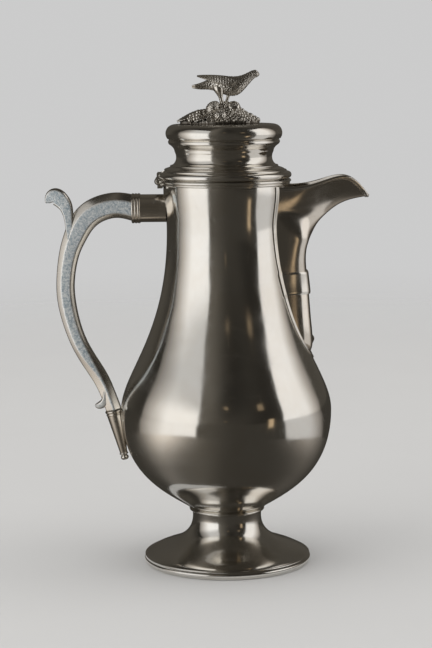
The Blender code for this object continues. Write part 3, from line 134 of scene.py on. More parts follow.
def ringAngles(count):
    return 2 * np.pi * np.arange(count) / count


def smoothStep(low, high, value):
    t = np.clip((value - low) / (high - low), 0, 1)
    return t * t * (3 - 2 * t)


# meshes from grids of points

def gridFaces(rows, columns, wrapRows=False, wrapColumns=False):
    # one face for each cell of the grid, whose points are numbered row by row
    i, j = np.meshgrid(np.arange(rows if wrapRows else rows - 1),
                       np.arange(columns if wrapColumns else columns - 1), indexing="ij")
    below, beside = (i + 1) % rows, (j + 1) % columns
    quads = np.stack([i * columns + j, below * columns + j, below * columns + beside,
                      i * columns + beside], -1)
    return quads.reshape(-1, 4)


def solidGrid(grid, wrapRows=False):
    # a tube of rows, each row a closed loop; its two ends meet, or flat faces close them
    rows, columns = grid.shape[:2]
    faces = gridFaces(rows, columns, wrapRows, True).tolist()
    if not wrapRows:
        faces.append(list(range(columns)))
        faces.append(list(range(rows * columns - 1, (rows - 1) * columns - 1, -1)))
    return grid.reshape(-1, 3), faces


def thickSheet(outer, inner, keep=None, wrapColumns=False, closeLast=False):
    # outer faces, the inner ones turned round, and a strip along every open edge between them
    rows, columns = outer.shape[:2]
    quads = gridFaces(rows, columns, False, wrapColumns)
    if keep is not None:
        quads = quads[keep.reshape(-1)]
    edges = quads[:, [0, 1, 1, 2, 2, 3, 3, 0]].reshape(-1, 2)
    _, where, counts = np.unique(np.sort(edges, 1), axis=0, return_inverse=True, return_counts=True)
    rim = edges[counts[where.reshape(-1)] == 1]
    size = rows * columns
    if closeLast:
        rim = rim[~np.all(rim >= size - columns, axis=1)]
    strip = np.column_stack([rim[:, 1], rim[:, 0], rim[:, 0] + size, rim[:, 1] + size])
    faces = np.vstack([quads, quads[:, ::-1] + size, strip])
    points = np.vstack([outer.reshape(-1, 3), inner.reshape(-1, 3)])
    used, faces = np.unique(faces, return_inverse=True)
    faces = faces.reshape(-1, 4).tolist()
    if closeLast:
        lookup = {int(v): i for i, v in enumerate(used[-columns:], len(used) - columns)}
        outerEnd = np.searchsorted(used, np.arange(size - columns, size))
        faces.append(outerEnd[::-1].tolist())
        faces.append([lookup[v] for v in range(2 * size - columns, 2 * size)])
    return points[used], faces


def merged(*meshes):
    # several closed forms kept in one mesh
    points, faces, start = [], [], 0
    for part, partFaces in meshes:
        points.append(part)
        faces += [[v + start for v in face] for face in partFaces]
        start += len(part)
    return np.vstack(points), faces


def sheetNormals(grid):
    # cross product of the steps down the rows and across the columns
    normal = np.cross(np.gradient(grid, axis=0), np.gradient(grid, axis=1))
    return normal / (np.linalg.norm(normal, axis=-1, keepdims=True) + 1e-12)


def signedVolume(points, faces):
    total = 0.0
    for size in {len(face) for face in faces}:
        group = np.array([face for face in faces if len(face) == size])
        first = points[group[:, 0]]
        for k in range(1, size - 1):
            total += np.einsum("ij,ij->", first, np.cross(points[group[:, k]], points[group[:, k + 1]]))
    return total


def addPiece(name, mesh, finish, body, replaced, sharpDegrees=38, hollow=None, satin=None):
    # puts a mesh into the frame, with its finish, its body and the solid it stands for
    points, faces = mesh
    if signedVolume(points, faces) < 0:
        faces = [face[::-1] for face in faces]
    data = bpy.data.meshes.new(name)
    data.from_pydata((points + [potX, 0, 0]).tolist(), [], faces)
    # per point: the painted shade of cast work, and the satin share of the handle's faces
    for label, values in (("hollow", hollow), ("satin", satin)):
        if values is not None:
            data.attributes.new(label, 'FLOAT', 'POINT').data.foreach_set("value", values)
    data.shade_smooth()
    data.set_sharp_from_angle(angle=math.radians(sharpDegrees))
    data.materials.append(finishes[finish])
    piece = bpy.data.objects.new(name, data)
    bpy.context.scene.collection.objects.link(piece)
    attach(piece, body)
    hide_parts(replaced)


def turnedGrid(profile, columns):
    # a profile of (radius, height) carried round the axis: (r cos a, r sin a, z)
    a = ringAngles(columns)
    r, z = profile[:, :1], profile[:, 1:]
    return np.stack([r * np.cos(a), r * np.sin(a), z + 0 * a], -1)


def laidAlong(points, origin, axis):
    # turns a shape's own Z onto an axis that lies in the XZ plane
    x, z = axis
    length = math.hypot(x, z)
    x, z = x / length, z / length
    px, py, pz = points[..., 0], points[..., 1], points[..., 2]
    return np.stack([origin[0] + px * z + pz * x, py, origin[1] - px * x + pz * z], -1)


# finishes

finishLooks = {
    "polished_silver": {"colour": (0.80, 0.785, 0.75), "toned": (0.70, 0.63, 0.53), "tonedShare": 0.34,
                        "roughness": 0.105, "smudge": 0.10, "scratch": 0.10, "wave": 0.0023},
    "warm_silver": {"colour": (0.80, 0.76, 0.70), "toned": (0.62, 0.53, 0.42), "tonedShare": 0.40,
                    "roughness": 0.12, "smudge": 0.10, "scratch": 0.08, "wave": 0.0014},
    "brushed_silver": {"colour": (0.80, 0.775, 0.73), "toned": (0.62, 0.57, 0.50), "tonedShare": 0.35,
                       "roughness": 0.20, "smudge": 0.06, "scratch": 0.10, "wave": 0.0003},
    "cast_silver": {"colour": (0.90, 0.87, 0.81), "toned": (0.66, 0.58, 0.48), "tonedShare": 0.25,
                    "roughness": 0.20, "smudge": 0.10, "scratch": 0.05, "wave": 0.0001},
    "inside_silver": {"colour": (0.62, 0.58, 0.52), "toned": (0.42, 0.37, 0.31), "tonedShare": 0.50,
                      "roughness": 0.36, "smudge": 0.12, "scratch": 0.10, "wave": 0.0003},
}
# cast work: how far its pits show, and the painted shade in its hollows
castLook = {"pits": 0.35, "pitRoughness": 0.22, "pitDarkness": 0.55, "pitToneShare": 0.45,
            "hollow": (0.075, 0.062, 0.048), "hollowFrom": 0.15, "hollowTo": 0.85, "hollowRoughness": 0.25}
# the handle's side faces were left with a fine file grain, bluish beside the burnished chamfers
satinLook = {"pale": (0.96, 0.985, 0.985), "deep": (0.43, 0.525, 0.585), "roughness": 0.50, "metallic": 0.70,
             "blotch": 700.0, "blotchFrom": 0.38, "blotchTo": 0.62, "grain": 2600.0, "grainHeight": 0.000012}

# the noises behind every finish: their scales, where each is cut off, and its height
toneNoise = {"broad": 21.0, "fine": 160.0, "fineShare": 0.2, "from": 0.40, "to": 0.66}
wearNoise = {
    "smudge": 34.0, "smudgeFrom": 0.42, "smudgeTo": 0.72,
    # hair scratches in three directions: how the noise is turned and stretched for each
    "hairs": (((0.3, 0.2, 0.5), (1500.0, 75.0, 75.0)), ((0.1, 0.7, 1.9), (80.0, 1700.0, 80.0)),
              ((0.9, 0.1, 2.7), (70.0, 75.0, 1600.0))),
    "hairFrom": 0.69, "hairTo": 0.79, "hairDepth": 0.0000015,
    "slow": 15.0, "quick": 41.0, "quickShare": 0.16,
}
pitNoise = {"cells": 1300.0, "cellFrom": 0.10, "cellTo": 0.42, "chance": 520.0, "chanceFrom": 0.50,
            "chanceTo": 0.64, "grain": 1500.0, "grainHeight": 0.000045, "depth": 0.000050}


class NodeDesk:
    # lays nodes into a tree and wires them by name
    def __init__(self, tree):
        self.tree = tree

    def add(self, kind, inputs=None, **settings):
        node = self.tree.nodes.new(kind)
        for key, value in settings.items():
            setattr(node, key, value)
        for key, value in (inputs or {}).items():
            if isinstance(value, bpy.types.NodeSocket):
                self.tree.links.new(value, node.inputs[key])
            else:
                node.inputs[key].default_value = value
        return node

    def reckon(self, operation, *values):
        return self.add("ShaderNodeMath", dict(enumerate(values)), operation=operation).outputs[0]

    def plus(self, first, second):
        return self.reckon('ADD', first, second)

    def times(self, first, second):
        return self.reckon('MULTIPLY', first, second)

    def spread(self, value, low, high, newLow=0.0, newHigh=1.0):
        node = self.add("ShaderNodeMapRange", {"Value": value, "From Min": low, "From Max": high,
                                               "To Min": newLow, "To Max": newHigh})
        return node.outputs["Result"]

    def noise(self, where, scale, detail, roughness=0.5, distortion=0.0):
        return self.add("ShaderNodeTexNoise", {"Vector": where, "Scale": scale, "Detail": detail,
                                               "Roughness": roughness, "Distortion": distortion})

    def blend(self, factor, first, second):
        # two colours mixed by a factor, each of them a socket or three plain numbers
        first, second = (part if isinstance(part, bpy.types.NodeSocket) else (*part, 1)
                         for part in (first, second))
        node = self.add("ShaderNodeMix", {"Factor": factor, "A": first, "B": second}, data_type='RGBA')
        return node.outputs["Result"]


def newGroup(name, inputs, outputs):
    tree = bpy.data.node_groups.new(name, 'ShaderNodeTree')
    for kind, sockets in (('INPUT', inputs), ('OUTPUT', outputs)):
        for label, form in sockets.items():
            tree.interface.new_socket(name=label, in_out=kind, socket_type=form)
    desk = NodeDesk(tree)
    return tree, desk, desk.add("NodeGroupInput").outputs, desk.add("NodeGroupOutput").inputs


def makeToneGroup():
    # colour of old silver: clean metal with soft warm and grey clouds of tarnish
    n = toneNoise
    tree, desk, given, result = newGroup(
        "silverTone", {"Clean": 'NodeSocketColor', "Toned": 'NodeSocketColor', "Share": 'NodeSocketFloat'},
        {"Color": 'NodeSocketColor'})
    where = desk.add("ShaderNodeTexCoord").outputs["Object"]
    broad = desk.noise(where, n["broad"], 4.0, 0.55, 0.4).outputs["Fac"]
    fine = desk.noise(where, n["fine"], 3.0, 0.6).outputs["Fac"]
    cloud = desk.plus(desk.times(broad, 1 - n["fineShare"]), desk.times(fine, n["fineShare"]))
    amount = desk.times(desk.spread(cloud, n["from"], n["to"]), given["Share"])
    tree.links.new(desk.blend(amount, given["Clean"], given["Toned"]), result["Color"])
    return tree


def makeWearGroup():
    # roughness and height of handled metal: smudges, hair scratches and a slow waviness
    n = wearNoise
    tree, desk, given, result = newGroup(
        "silverWear", {"Roughness": 'NodeSocketFloat', "Smudge": 'NodeSocketFloat',
                       "Scratch": 'NodeSocketFloat', "Wave": 'NodeSocketFloat'},
        {"Roughness": 'NodeSocketFloat', "Height": 'NodeSocketFloat'})
    where = desk.add("ShaderNodeTexCoord").outputs["Object"]
    cloud = desk.noise(where, n["smudge"], 5.0, 0.62, 0.8).outputs["Fac"]
    smudge = desk.spread(cloud, n["smudgeFrom"], n["smudgeTo"])
    hairs = []
    for turn, scale in n["hairs"]:
        place = desk.add("ShaderNodeMapping", {"Vector": where, "Rotation": turn, "Scale": scale})
        hair = desk.noise(place.outputs["Vector"], 1.0, 1.0, 0.4).outputs["Fac"]
        hairs.append(desk.spread(hair, n["hairFrom"], n["hairTo"]))
    scratches = desk.reckon('MAXIMUM', desk.reckon('MAXIMUM', hairs[0], hairs[1]), hairs[2])
    rough = desk.plus(given["Roughness"], desk.times(smudge, given["Smudge"]))
    rough = desk.plus(rough, desk.times(scratches, given["Scratch"]))
    slow = desk.noise(where, n["slow"], 1.0, 0.3).outputs["Fac"]
    quick = desk.noise(where, n["quick"], 1.0, 0.4).outputs["Fac"]
    waves = desk.plus(slow, desk.times(quick, n["quickShare"]))
    height = desk.reckon('SUBTRACT', desk.times(waves, given["Wave"]), desk.times(scratches, n["hairDepth"]))
    tree.links.new(rough, result["Roughness"])
    tree.links.new(height, result["Height"])
    return tree


def makePitGroup():
    # cast metal: small pits and grain, darker and rougher than the skin between them
    n = pitNoise
    tree, desk, given, result = newGroup(
        "castGrain", {"Amount": 'NodeSocketFloat'}, {"Mask": 'NodeSocketFloat', "Height": 'NodeSocketFloat'})
    where = desk.add("ShaderNodeTexCoord").outputs["Object"]
    cells = desk.add("ShaderNodeTexVoronoi", {"Vector": where, "Scale": n["cells"]}, feature='F1')
    pits = desk.spread(cells.outputs["Distance"], n["cellFrom"], n["cellTo"], 1.0, 0.0)
    chance = desk.spread(desk.noise(where, n["chance"], 2.0, 0.6).outputs["Fac"], n["chanceFrom"],
                         n["chanceTo"])
    mask = desk.times(desk.times(pits, chance), given["Amount"])
    grain = desk.noise(where, n["grain"], 2.0, 0.7).outputs["Fac"]
    height = desk.reckon('SUBTRACT', desk.times(grain, n["grainHeight"]), desk.times(mask, n["depth"]))
    tree.links.new(mask, result["Mask"])
    tree.links.new(height, result["Height"])
    return tree


def castSurface(desk, look, pits, colour, rough, height):
    # pitted skin, and painted shade in the hollows of chased work, under leaves and round the mound's foot
    c = castLook
    grain = desk.add("ShaderNodeGroup", {"Amount": c["pits"]}, node_tree=pits)
    mask = grain.outputs["Mask"]
    rough = desk.plus(rough, desk.times(mask, c["pitRoughness"]))
    pitColour = [part * c["pitToneShare"] for part in look["toned"]]
    colour = desk.blend(desk.times(mask, c["pitDarkness"]), colour, pitColour)
    # painted shade: the mesh's darkness, which darkens the colour and adds roughness
    deep = desk.add("ShaderNodeAttribute", attribute_name="hollow").outputs["Fac"]
    colour = desk.blend(desk.spread(deep, c["hollowFrom"], c["hollowTo"]), colour, c["hollow"])
    rough = desk.plus(rough, desk.times(deep, c["hollowRoughness"]))
    return colour, rough, desk.plus(height, grain.outputs["Height"])


def satinSurface(desk, look, colour, rough, height):
    # mottled, matt and bluish where the mesh says satin
    s = satinLook
    satin = desk.add("ShaderNodeAttribute", attribute_name="satin").outputs["Fac"]
    where = desk.add("ShaderNodeTexCoord").outputs["Object"]
    blotch = desk.spread(desk.noise(where, s["blotch"], 4.0, 0.75).outputs["Fac"], s["blotchFrom"],
                         s["blotchTo"])
    grain = desk.noise(where, s["grain"], 2.0, 0.6).outputs["Fac"]
    colour = desk.blend(satin, colour, desk.blend(blotch, s["pale"], s["deep"]))
    rough = desk.plus(rough, desk.times(satin, s["roughness"] - look["roughness"]))
    filed = desk.times(desk.times(grain, satin), s["grainHeight"])
    metallic = desk.spread(satin, 0.0, 1.0, 1.0, s["metallic"])
    return colour, rough, desk.plus(height, filed), metallic


def makeFinish(name, look, tone, wear, pits):
    material = bpy.data.materials.new(name)
    material.use_nodes = True
    tree = material.node_tree
    desk = NodeDesk(tree)
    shader = tree.nodes["Principled BSDF"]
    shader.inputs["Metallic"].default_value = 1.0
    toned = desk.add("ShaderNodeGroup", {}, node_tree=tone)
    toned.inputs["Clean"].default_value = (*look["colour"], 1)
    toned.inputs["Toned"].default_value = (*look["toned"], 1)
    toned.inputs["Share"].default_value = look["tonedShare"]
    worn = desk.add("ShaderNodeGroup", {}, node_tree=wear)
    for key in ("roughness", "smudge", "scratch", "wave"):
        worn.inputs[key.capitalize()].default_value = look[key]
    colour, rough, height = toned.outputs["Color"], worn.outputs["Roughness"], worn.outputs["Height"]
    if name == "cast_silver":
        colour, rough, height = castSurface(desk, look, pits, colour, rough, height)
    if name == "brushed_silver":
        colour, rough, height, metallic = satinSurface(desk, look, colour, rough, height)
        tree.links.new(metallic, shader.inputs["Metallic"])
    bump = desk.add("ShaderNodeBump", {"Height": height, "Strength": 1.0, "Distance": 1.0})
    tree.links.new(colour, shader.inputs["Base Color"])
    tree.links.new(rough, shader.inputs["Roughness"])
    tree.links.new(bump.outputs["Normal"], shader.inputs["Normal"])
    finishes[name] = material


def makeFinishes():
    tone, wear, pits = makeToneGroup(), makeWearGroup(), makePitGroup()
    for name, look in finishLooks.items():
        makeFinish(name, look, tone, wear, pits)
    print("finishes:", len(finishes))


makeFinishes()


# body, mouth rim and foot

bodyShape = {
    "mouthRadius": 0.0368, "mouthTop": 0.2350, "mouthStraight": 0.0060,
    "waistRadius": 0.0350, "waistZ": 0.2050, "bellyRadius": 0.0642, "bellyZ": 0.0945,
    "baseRadius": 0.0215, "baseZ": 0.0335, "baseCorner": 0.0008, "wall": 0.0012,
    "neckEaseShare": 0.40, "shoulderUpperShare": 0.592, "shoulderLowerShare": 0.205,
    "bowlUpperShare": 0.655, "bowlOutShare": 0.37, "bowlUpShare": 0.175,
    "columns": 224, "openingColumns": 14,
    "openingTopZ": 0.2265, "openingLowZ": 0.1680, "openingTopHalf": 0.0135, "openingLowHalf": 0.0080,
    "dipLowZ": 0.1400, "dipHighZ": 0.1950,
}
# a turned profile that closes on the axis ends this far from it
nearAxis = 0.0003


def bodyProfile():
    b = bodyShape
    mouth, waist, belly, base = b["mouthRadius"], b["waistRadius"], b["bellyRadius"], b["baseRadius"]
    straight = b["mouthTop"] - b["mouthStraight"]
    neck, shoulder, bowl = straight - b["waistZ"], b["waistZ"] - b["bellyZ"], b["bellyZ"] - b["baseZ"]
    neckEase = neck * b["neckEaseShare"]
    run, corner = belly - base, b["baseCorner"]
    lip = arcCurve((mouth - b["wall"] / 2, b["mouthTop"] - b["wall"] / 2), b["wall"] / 2, 78, 0, 6)
    return joined(
        lip,
        cubicCurve((mouth, straight), (mouth, straight - neckEase), (waist, b["waistZ"] + neckEase),
                   (waist, b["waistZ"]), 22),
        cubicCurve((waist, b["waistZ"]), (waist, b["waistZ"] - shoulder * b["shoulderUpperShare"]),
                   (belly, b["bellyZ"] + shoulder * b["shoulderLowerShare"]), (belly, b["bellyZ"]), 70),
        cubicCurve((belly, b["bellyZ"]), (belly, b["bellyZ"] - bowl * b["bowlUpperShare"]),
                   (base + run * b["bowlOutShare"], b["baseZ"] + bowl * b["bowlUpShare"]),
                   (base, b["baseZ"]), 60),
        arcCurve((base - corner, b["baseZ"] + corner), corner, -20, -90, 4),
        np.column_stack([np.linspace(base - 1.5 * corner, nearAxis, 8), np.full(8, b["baseZ"])]))


bodyLine = bodyProfile()


def bodyRadiusAt(z):
    return np.interp(z, bodyLine[::-1, 1], bodyLine[::-1, 0])


def onBody(y, z, lift):
    # the point of the body's skin at a side distance and a height, lifted off the skin
    r = bodyRadiusAt(z) + lift
    return np.stack([np.sqrt(np.maximum(r * r - y * y, 0)), y + 0 * r, z + 0 * r], -1)


def makeBody():
    # r(z) turned round the axis; columns beside the spout's opening lean so that their edge
    # follows its sides, and the rows under it dip to its round foot
    b = bodyShape
    half, columns = b["openingColumns"], b["columns"]
    z = bodyLine[:, 1]
    top = int(np.argmin(abs(z[:90] - b["openingTopZ"])))
    low = int(np.argmin(abs(z[:90] - b["openingLowZ"])))
    wide = np.interp(z, [b["openingLowZ"], b["openingTopZ"]], [b["openingLowHalf"], b["openingTopHalf"]])
    edge = np.arcsin(np.clip(wide / np.maximum(bodyLine[:, 0], wide * 1.2), 0, 1))[:, None]
    edge[low:] = edge[low]
    j = np.arange(columns) - columns // 2
    inside = np.clip(j / half, -1, 1)
    far = np.sign(j) * np.maximum(abs(j) - half, 0) / (columns / 2 - half)
    angle = inside * edge + far * (np.pi - edge)
    fade = np.interp(z, [b["dipLowZ"], z[low], b["dipHighZ"], z[top]], [0, 1, 0, 0])[:, None]
    fade[:top + 1] = 0
    dip = b["openingLowHalf"] * np.sqrt(1 - inside ** 2) * fade * (abs(j) <= half)
    height = z[:, None] - dip

    def skin(line):
        order = line[::-1]
        radius = np.where(dip > 0, np.interp(height, order[:, 1], order[:, 0]), line[:, :1])
        shift = line[:, 1:] - bodyLine[:, 1:]
        return np.stack([radius * np.cos(angle), radius * np.sin(angle), height + shift], -1)

    innerLine = bodyLine + besideLine(bodyLine) * b["wall"]
    innerLine[:6] = bodyLine[5] - [b["wall"], 0] + (bodyLine[:6] - bodyLine[5]) * [-1, 1]
    innerLine[:, 0] = np.maximum(innerLine[:, 0], nearAxis)
    keep = np.ones((len(z) - 1, columns), bool)
    hole = (j >= -half) & (j < half)
    keep[top:low, hole] = False
    mesh = thickSheet(skin(bodyLine), skin(innerLine), keep, True, True)
    addPiece("bodyShell", mesh, "polished_silver", "body", "body_shell")
    print("body made")


# its two rounds: radius and depth of the centre over the height, and for the lower one the
# centre's place over the width
rimShape = {"clear": 0.00005, "below": 0.0001, "width": 0.0034, "height": 0.0036,
            "upperShares": (0.25, 0.27), "lowerShares": (0.17, 0.73, 0.62), "rootShare": 0.35}


def makeMouthRim():
    # an applied wire of two reeds, turned round the mouth and broken where the hinge is let in
    w, h, top = rimShape["width"], rimShape["height"], bodyShape["mouthTop"]
    inside = bodyShape["mouthRadius"] + rimShape["clear"]
    round1, down1 = (h * share for share in rimShape["upperShares"])
    round2, down2 = (h * share for share in rimShape["lowerShares"][:2])
    flat, root = top - rimShape["below"], inside + w * rimShape["rootShare"]
    profile = joined((inside, flat), (inside + w * 0.5, flat),
                     arcCurve((inside + w - round1, top - down1), round1, 85, -75, 12),
                     arcCurve((inside + w * rimShape["lowerShares"][2], top - down2), round2, 62, -80, 9),
                     (root, top - h), (inside, top - h))
    addPiece("mouthRim", brokenRing(profile), "polished_silver", "body", "mouth_rim")


hingeShape = {"gapHalf": 0.01045, "columns": 200}


def brokenRing(profile):
    # a profile carried round the axis from one side of the hinge to the other
    reach = profile[:, 0].max()
    gap = math.asin(hingeShape["gapHalf"] / reach)
    a = np.linspace(-np.pi + gap, np.pi - gap, hingeShape["columns"])
    r, z = profile[:, 0], profile[:, 1]
    grid = np.stack([r * np.cos(a)[:, None], r * np.sin(a)[:, None], z + 0 * a[:, None]], -1)
    return solidGrid(grid)


footShape = {
    "neckRadius": 0.0210, "neckZ": 0.0285, "edgeRadius": 0.0496, "edgeZ": 0.0050, "wall": 0.0013,
    "topClear": 0.0001, "topShare": 1.035, "throatShare": 1.005, "throat": 0.0012,
    "dropShare": 0.74, "runShare": 0.21, "riseShare": 0.26,
    "rimRadius": 0.0512, "rimInside": 0.0467, "rimLap": 0.0012, "rimClear": 0.00005, "rimCorner": 0.0003,
    "reed": 0.00055, "reedDrop": 0.00035, "round": 0.00155, "roundZ": 0.00235,
    "heelInset": 0.0009, "heelZ": 0.00035, "standInset": 0.0016, "underClear": 0.0002,
    "ringWidth": 0.0013, "ringHeight": 0.0013, "ringSink": 0.0004, "columns": 192,
}


def makeFootPiece(name, mesh, replaced):
    addPiece(name, mesh, "polished_silver", "body", replaced)


def makeFoot():
    # a trumpet: one cubic from the neck, straight down at first, that runs out to the edge
    f = footShape
    neck, neckZ, edge, z = f["neckRadius"], f["neckZ"], f["edgeRadius"], f["edgeZ"]
    top, throat = bodyShape["baseZ"] - f["topClear"], f["throat"]
    drop, run = neckZ - z, edge - neck
    outer = joined(
        cubicCurve((neck * f["topShare"], top), (neck * f["throatShare"], top - throat),
                   (neck, neckZ + throat), (neck, neckZ), 10),
        cubicCurve((neck, neckZ), (neck, neckZ - drop * f["dropShare"]),
                   (edge - run * f["runShare"], z + drop * f["riseShare"]), (edge, z), 80))
    inner = outer + besideLine(outer) * f["wall"]
    mesh = thickSheet(turnedGrid(outer, f["columns"]), turnedGrid(inner, f["columns"]), None, True)
    makeFootPiece("footShell", mesh, "foot_shell")

    # the edge: a thin upper reed, a groove and a fuller round that the pot stands on
    big, reed, full = f["rimRadius"], f["reed"], f["round"]
    lap, under = edge - f["rimLap"], z - f["wall"] - f["underClear"]
    profile = joined(
        (lap, z + f["rimClear"]), arcCurve((big - 2 * reed, z - f["reedDrop"]), reed, 95, -40, 9),
        arcCurve((big - full, f["roundZ"]), full, 52, -62, 14),
        softCorners([(big - f["heelInset"], f["heelZ"]), (big - f["standInset"], 0.0),
                     (f["rimInside"], 0.0), (f["rimInside"], under), (lap, under)], f["rimCorner"]))
    makeFootPiece("footRim", solidGrid(turnedGrid(profile, f["columns"]), True), "foot_rim")

    # the ring: a half-round over the joint of body and foot
    inside, half = neck * f["topShare"], f["ringHeight"] / 2
    sunk = inside - f["ringSink"]
    profile = joined((sunk, top), arcCurve((inside + f["ringWidth"] - half, top - half), half, 90, -90, 14),
                     (sunk, top - 2 * half))
    makeFootPiece("footJointRing", solidGrid(turnedGrid(profile, f["columns"]), True), "foot_joint_ring")
    print("foot made")


makeBody()
makeMouthRim()
makeFoot()


# lid

lidShape = {
    "topZ": 0.2678, "crownRise": 0.0006, "rollRadius": 0.0351, "rollHalf": 0.00535, "wall": 0.0010,
    "holeRadius": 0.0021, "holeFlat": 0.0040, "holeCorner": 0.0002, "holeClear": 0.0005,
    "columns": 208,
    # the crown's two inner handles, outward
    "crownOut": (0.012, 0.022), "crownEndShare": 0.4,
    # below the roll, outward and height: the groove lies in and down from the roll's end, the
    # band and the bead are rounds with a centre and a radius, the others are cubics
    "groove": (0.00042, 0.00016), "band": (0.03205, 0.25735), "bandRadius": 0.00160,
    "ogee": ((0.03302, 0.25595), (0.03205, 0.25520), (0.02990, 0.25400), (0.02975, 0.25150)),
    "cove": ((0.02975, 0.25150), (0.0283, 0.2489), (0.0285, 0.2449), (0.0318, 0.24335)),
    "bead": (0.03215, 0.24300), "beadRadius": 0.00042,
    "slope": ((0.0326, 0.24255), (0.0338, 0.2418), (0.0353, 0.2419), (0.0362, 0.24095)),
    "edge": (0.0361, 0.2404),
    # inside, from the edge up to the roll
    "innerEdge": ((0.0300, 0.2404), (0.0285, 0.2416)),
    "innerCove": ((0.0279, 0.2440), (0.0276, 0.2470), (0.0276, 0.2520), (0.0280, 0.2560)),
    "innerTop": (0.0200, 0.0007),
}
flangeEdge = {
    "radius": 0.0405, "roll": 0.00196, "rollShare": 1.12, "inside": 0.0340, "top": 0.24035, "seat": 0.0002,
    "beadStart": 0.0363, "bead": (0.0370, 0.24000), "beadRadius": 0.00062,
}


def lidProfile():
    # from the hole outwards: crown, full roll, a low band below it, ogee, cove and foot
    s = lidShape
    half, crownZ = s["rollHalf"], s["topZ"] + s["crownRise"]
    centre = (s["rollRadius"] - half, s["topZ"] - half)
    crown = cubicCurve((nearAxis, crownZ), (s["crownOut"][0], crownZ),
                       (s["crownOut"][1], s["topZ"] + s["crownRise"] * s["crownEndShare"]),
                       (centre[0], s["topZ"]), 14)
    roll = arcCurve(centre, half, 89, -37, 40)
    groove = roll[-1] - s["groove"]
    band = arcCurve(s["band"], s["bandRadius"], 58, -44, 14)
    bead = arcCurve(s["bead"], s["beadRadius"], 100, -38, 8)
    return joined(crown, roll, groove, band, cubicCurve(*s["ogee"], 14), cubicCurve(*s["cove"], 30), bead,
                  cubicCurve(*s["slope"], 14), s["edge"])


def makeLid():
    s = lidShape
    outer = lidProfile()
    hole, half, crownZ = s["holeRadius"], s["rollHalf"], s["topZ"] + s["crownRise"]
    inner = joined(*s["innerEdge"], cubicCurve(*s["innerCove"], 12),
                   arcCurve((s["rollRadius"] - half, s["topZ"] - half), half - s["wall"], -50, 88, 16),
                   (s["innerTop"][0], s["topZ"] - s["innerTop"][1]), (hole, crownZ - s["wall"]))
    bore = softCorners([(hole, crownZ - s["wall"]), (hole, crownZ), (s["holeFlat"], crownZ)],
                       s["holeCorner"])
    profile = joined(bore, outer[outer[:, 0] > s["holeFlat"] + s["holeClear"]], inner)
    addPiece("lidDome", solidGrid(turnedGrid(profile, s["columns"]), True), "polished_silver", "lid",
             "lid_dome", 30)


def makeLidFlange():
    # a small bead, a groove and the main half-round above the mouth
    e = flangeEdge
    seat, roll, big = bodyShape["mouthTop"] + e["seat"], e["roll"], e["radius"]
    profile = joined(
        (e["inside"], e["top"]), (e["beadStart"], e["top"]),
        arcCurve(e["bead"], e["beadRadius"], 120, -25, 8),
        arcCurve((big - roll, seat + roll * e["rollShare"]), roll, 84, -80, 24),
        (big - roll * 0.9, seat), (e["inside"], seat))
    addPiece("lidFlange", brokenRing(profile), "polished_silver", "lid", "lid_flange")
    print("lid made")


makeLid()
makeLidFlange()


# spout

spoutShape = {
    "reach": 0.0869, "topZ": 0.2309, "bottomZ": 0.1287, "halfWidth": 0.0184, "wall": 0.0011,
    "nose": 0.40, "lowPower": 3.4, "highPower": 5.0, "squareLow": 0.33, "squareHigh": 0.52,
    "beakLow": 0.56, "beakHigh": 0.80, "dropLow": -0.02, "dropHigh": 0.08,
    "hump": 0.0103, "humpSkew": 2.3, "humpStart": 0.55, "splitZ": 0.1412, "splitLap": 0.004,
    "sink": 0.0004, "root": 0.0006, "rows": 150, "sides": 97,
    # how far the keel stands off the body over the spout's projection, keel height, joint
    # height, half width; heights run from the spout's bottom to its top
    "stationShares": (
        (-0.015, 0.000, 0.000, 0.00), (0.038, 0.030, 0.030, 0.36), (0.103, 0.090, 0.090, 0.62),
        (0.171, 0.205, 0.205, 0.73), (0.232, 0.355, 0.355, 0.77), (0.252, 0.480, 0.480, 0.82),
        (0.261, 0.570, 0.570, 0.88), (0.286, 0.640, 0.680, 0.93), (0.335, 0.698, 0.745, 0.96),
        (0.410, 0.768, 0.805, 0.98), (0.500, 0.822, 0.855, 0.99), (0.626, 0.876, 0.905, 1.00),
        (0.788, 0.912, 0.950, 1.00), (1.000, 0.932, 1.000, 1.00)),
}


def spoutStation(place):
    s = spoutShape
    off, keel, joint, width = np.moveaxis(splineThrough(s["stationShares"], place), -1, 0)
    height = s["topZ"] - s["bottomZ"]
    keelZ = s["bottomZ"] + keel * height
    keelX = bodyRadiusAt(keelZ) + off * (s["reach"] - bodyShape["mouthRadius"])
    return keelX, keelZ, s["bottomZ"] + joint * height, np.maximum(width, 0) * s["halfWidth"]


def spoutPoint(side, place):
    # blend from the joint on the body to the keel by a rounded-nose share of the side, plus a
    # hump that lifts the lip's edge on either side of the beak
    s = spoutShape
    n = s["nose"]
    keelX, keelZ, jointZ, width = spoutStation(place)
    jointX = onBody(width, jointZ, -s["sink"])[..., 0]
    folded = (np.sqrt(side * side + n * n) - n) / (math.sqrt(1 + n * n) - n)
    beak = np.maximum(smoothStep(s["beakLow"], s["beakHigh"], place),
                      1 - smoothStep(s["dropLow"], s["dropHigh"], place))
    square = smoothStep(s["squareLow"], s["squareHigh"], place)
    power = s["lowPower"] + (s["highPower"] - s["lowPower"]) * square
    back = abs(side) ** power * (1 - beak) + folded * beak
    forward = 1 - back
    rise = np.maximum(0, (place - s["humpStart"]) / (1 - s["humpStart"])) ** 3
    hump = s["hump"] * np.sin(np.pi * np.clip(forward, 0, 1) ** s["humpSkew"]) * rise
    return np.stack([jointX + (keelX - jointX) * forward, width * side,
                     jointZ + (keelZ - jointZ) * forward + hump], -1)


def placeAtHeight(z):
    places = np.linspace(0, 1, 2001)
    return float(np.interp(z, spoutStation(places)[2], places))


def easedSides(count, power=1.25):
    raw = np.linspace(-1, 1, count)
    return np.sign(raw) * abs(raw) ** power


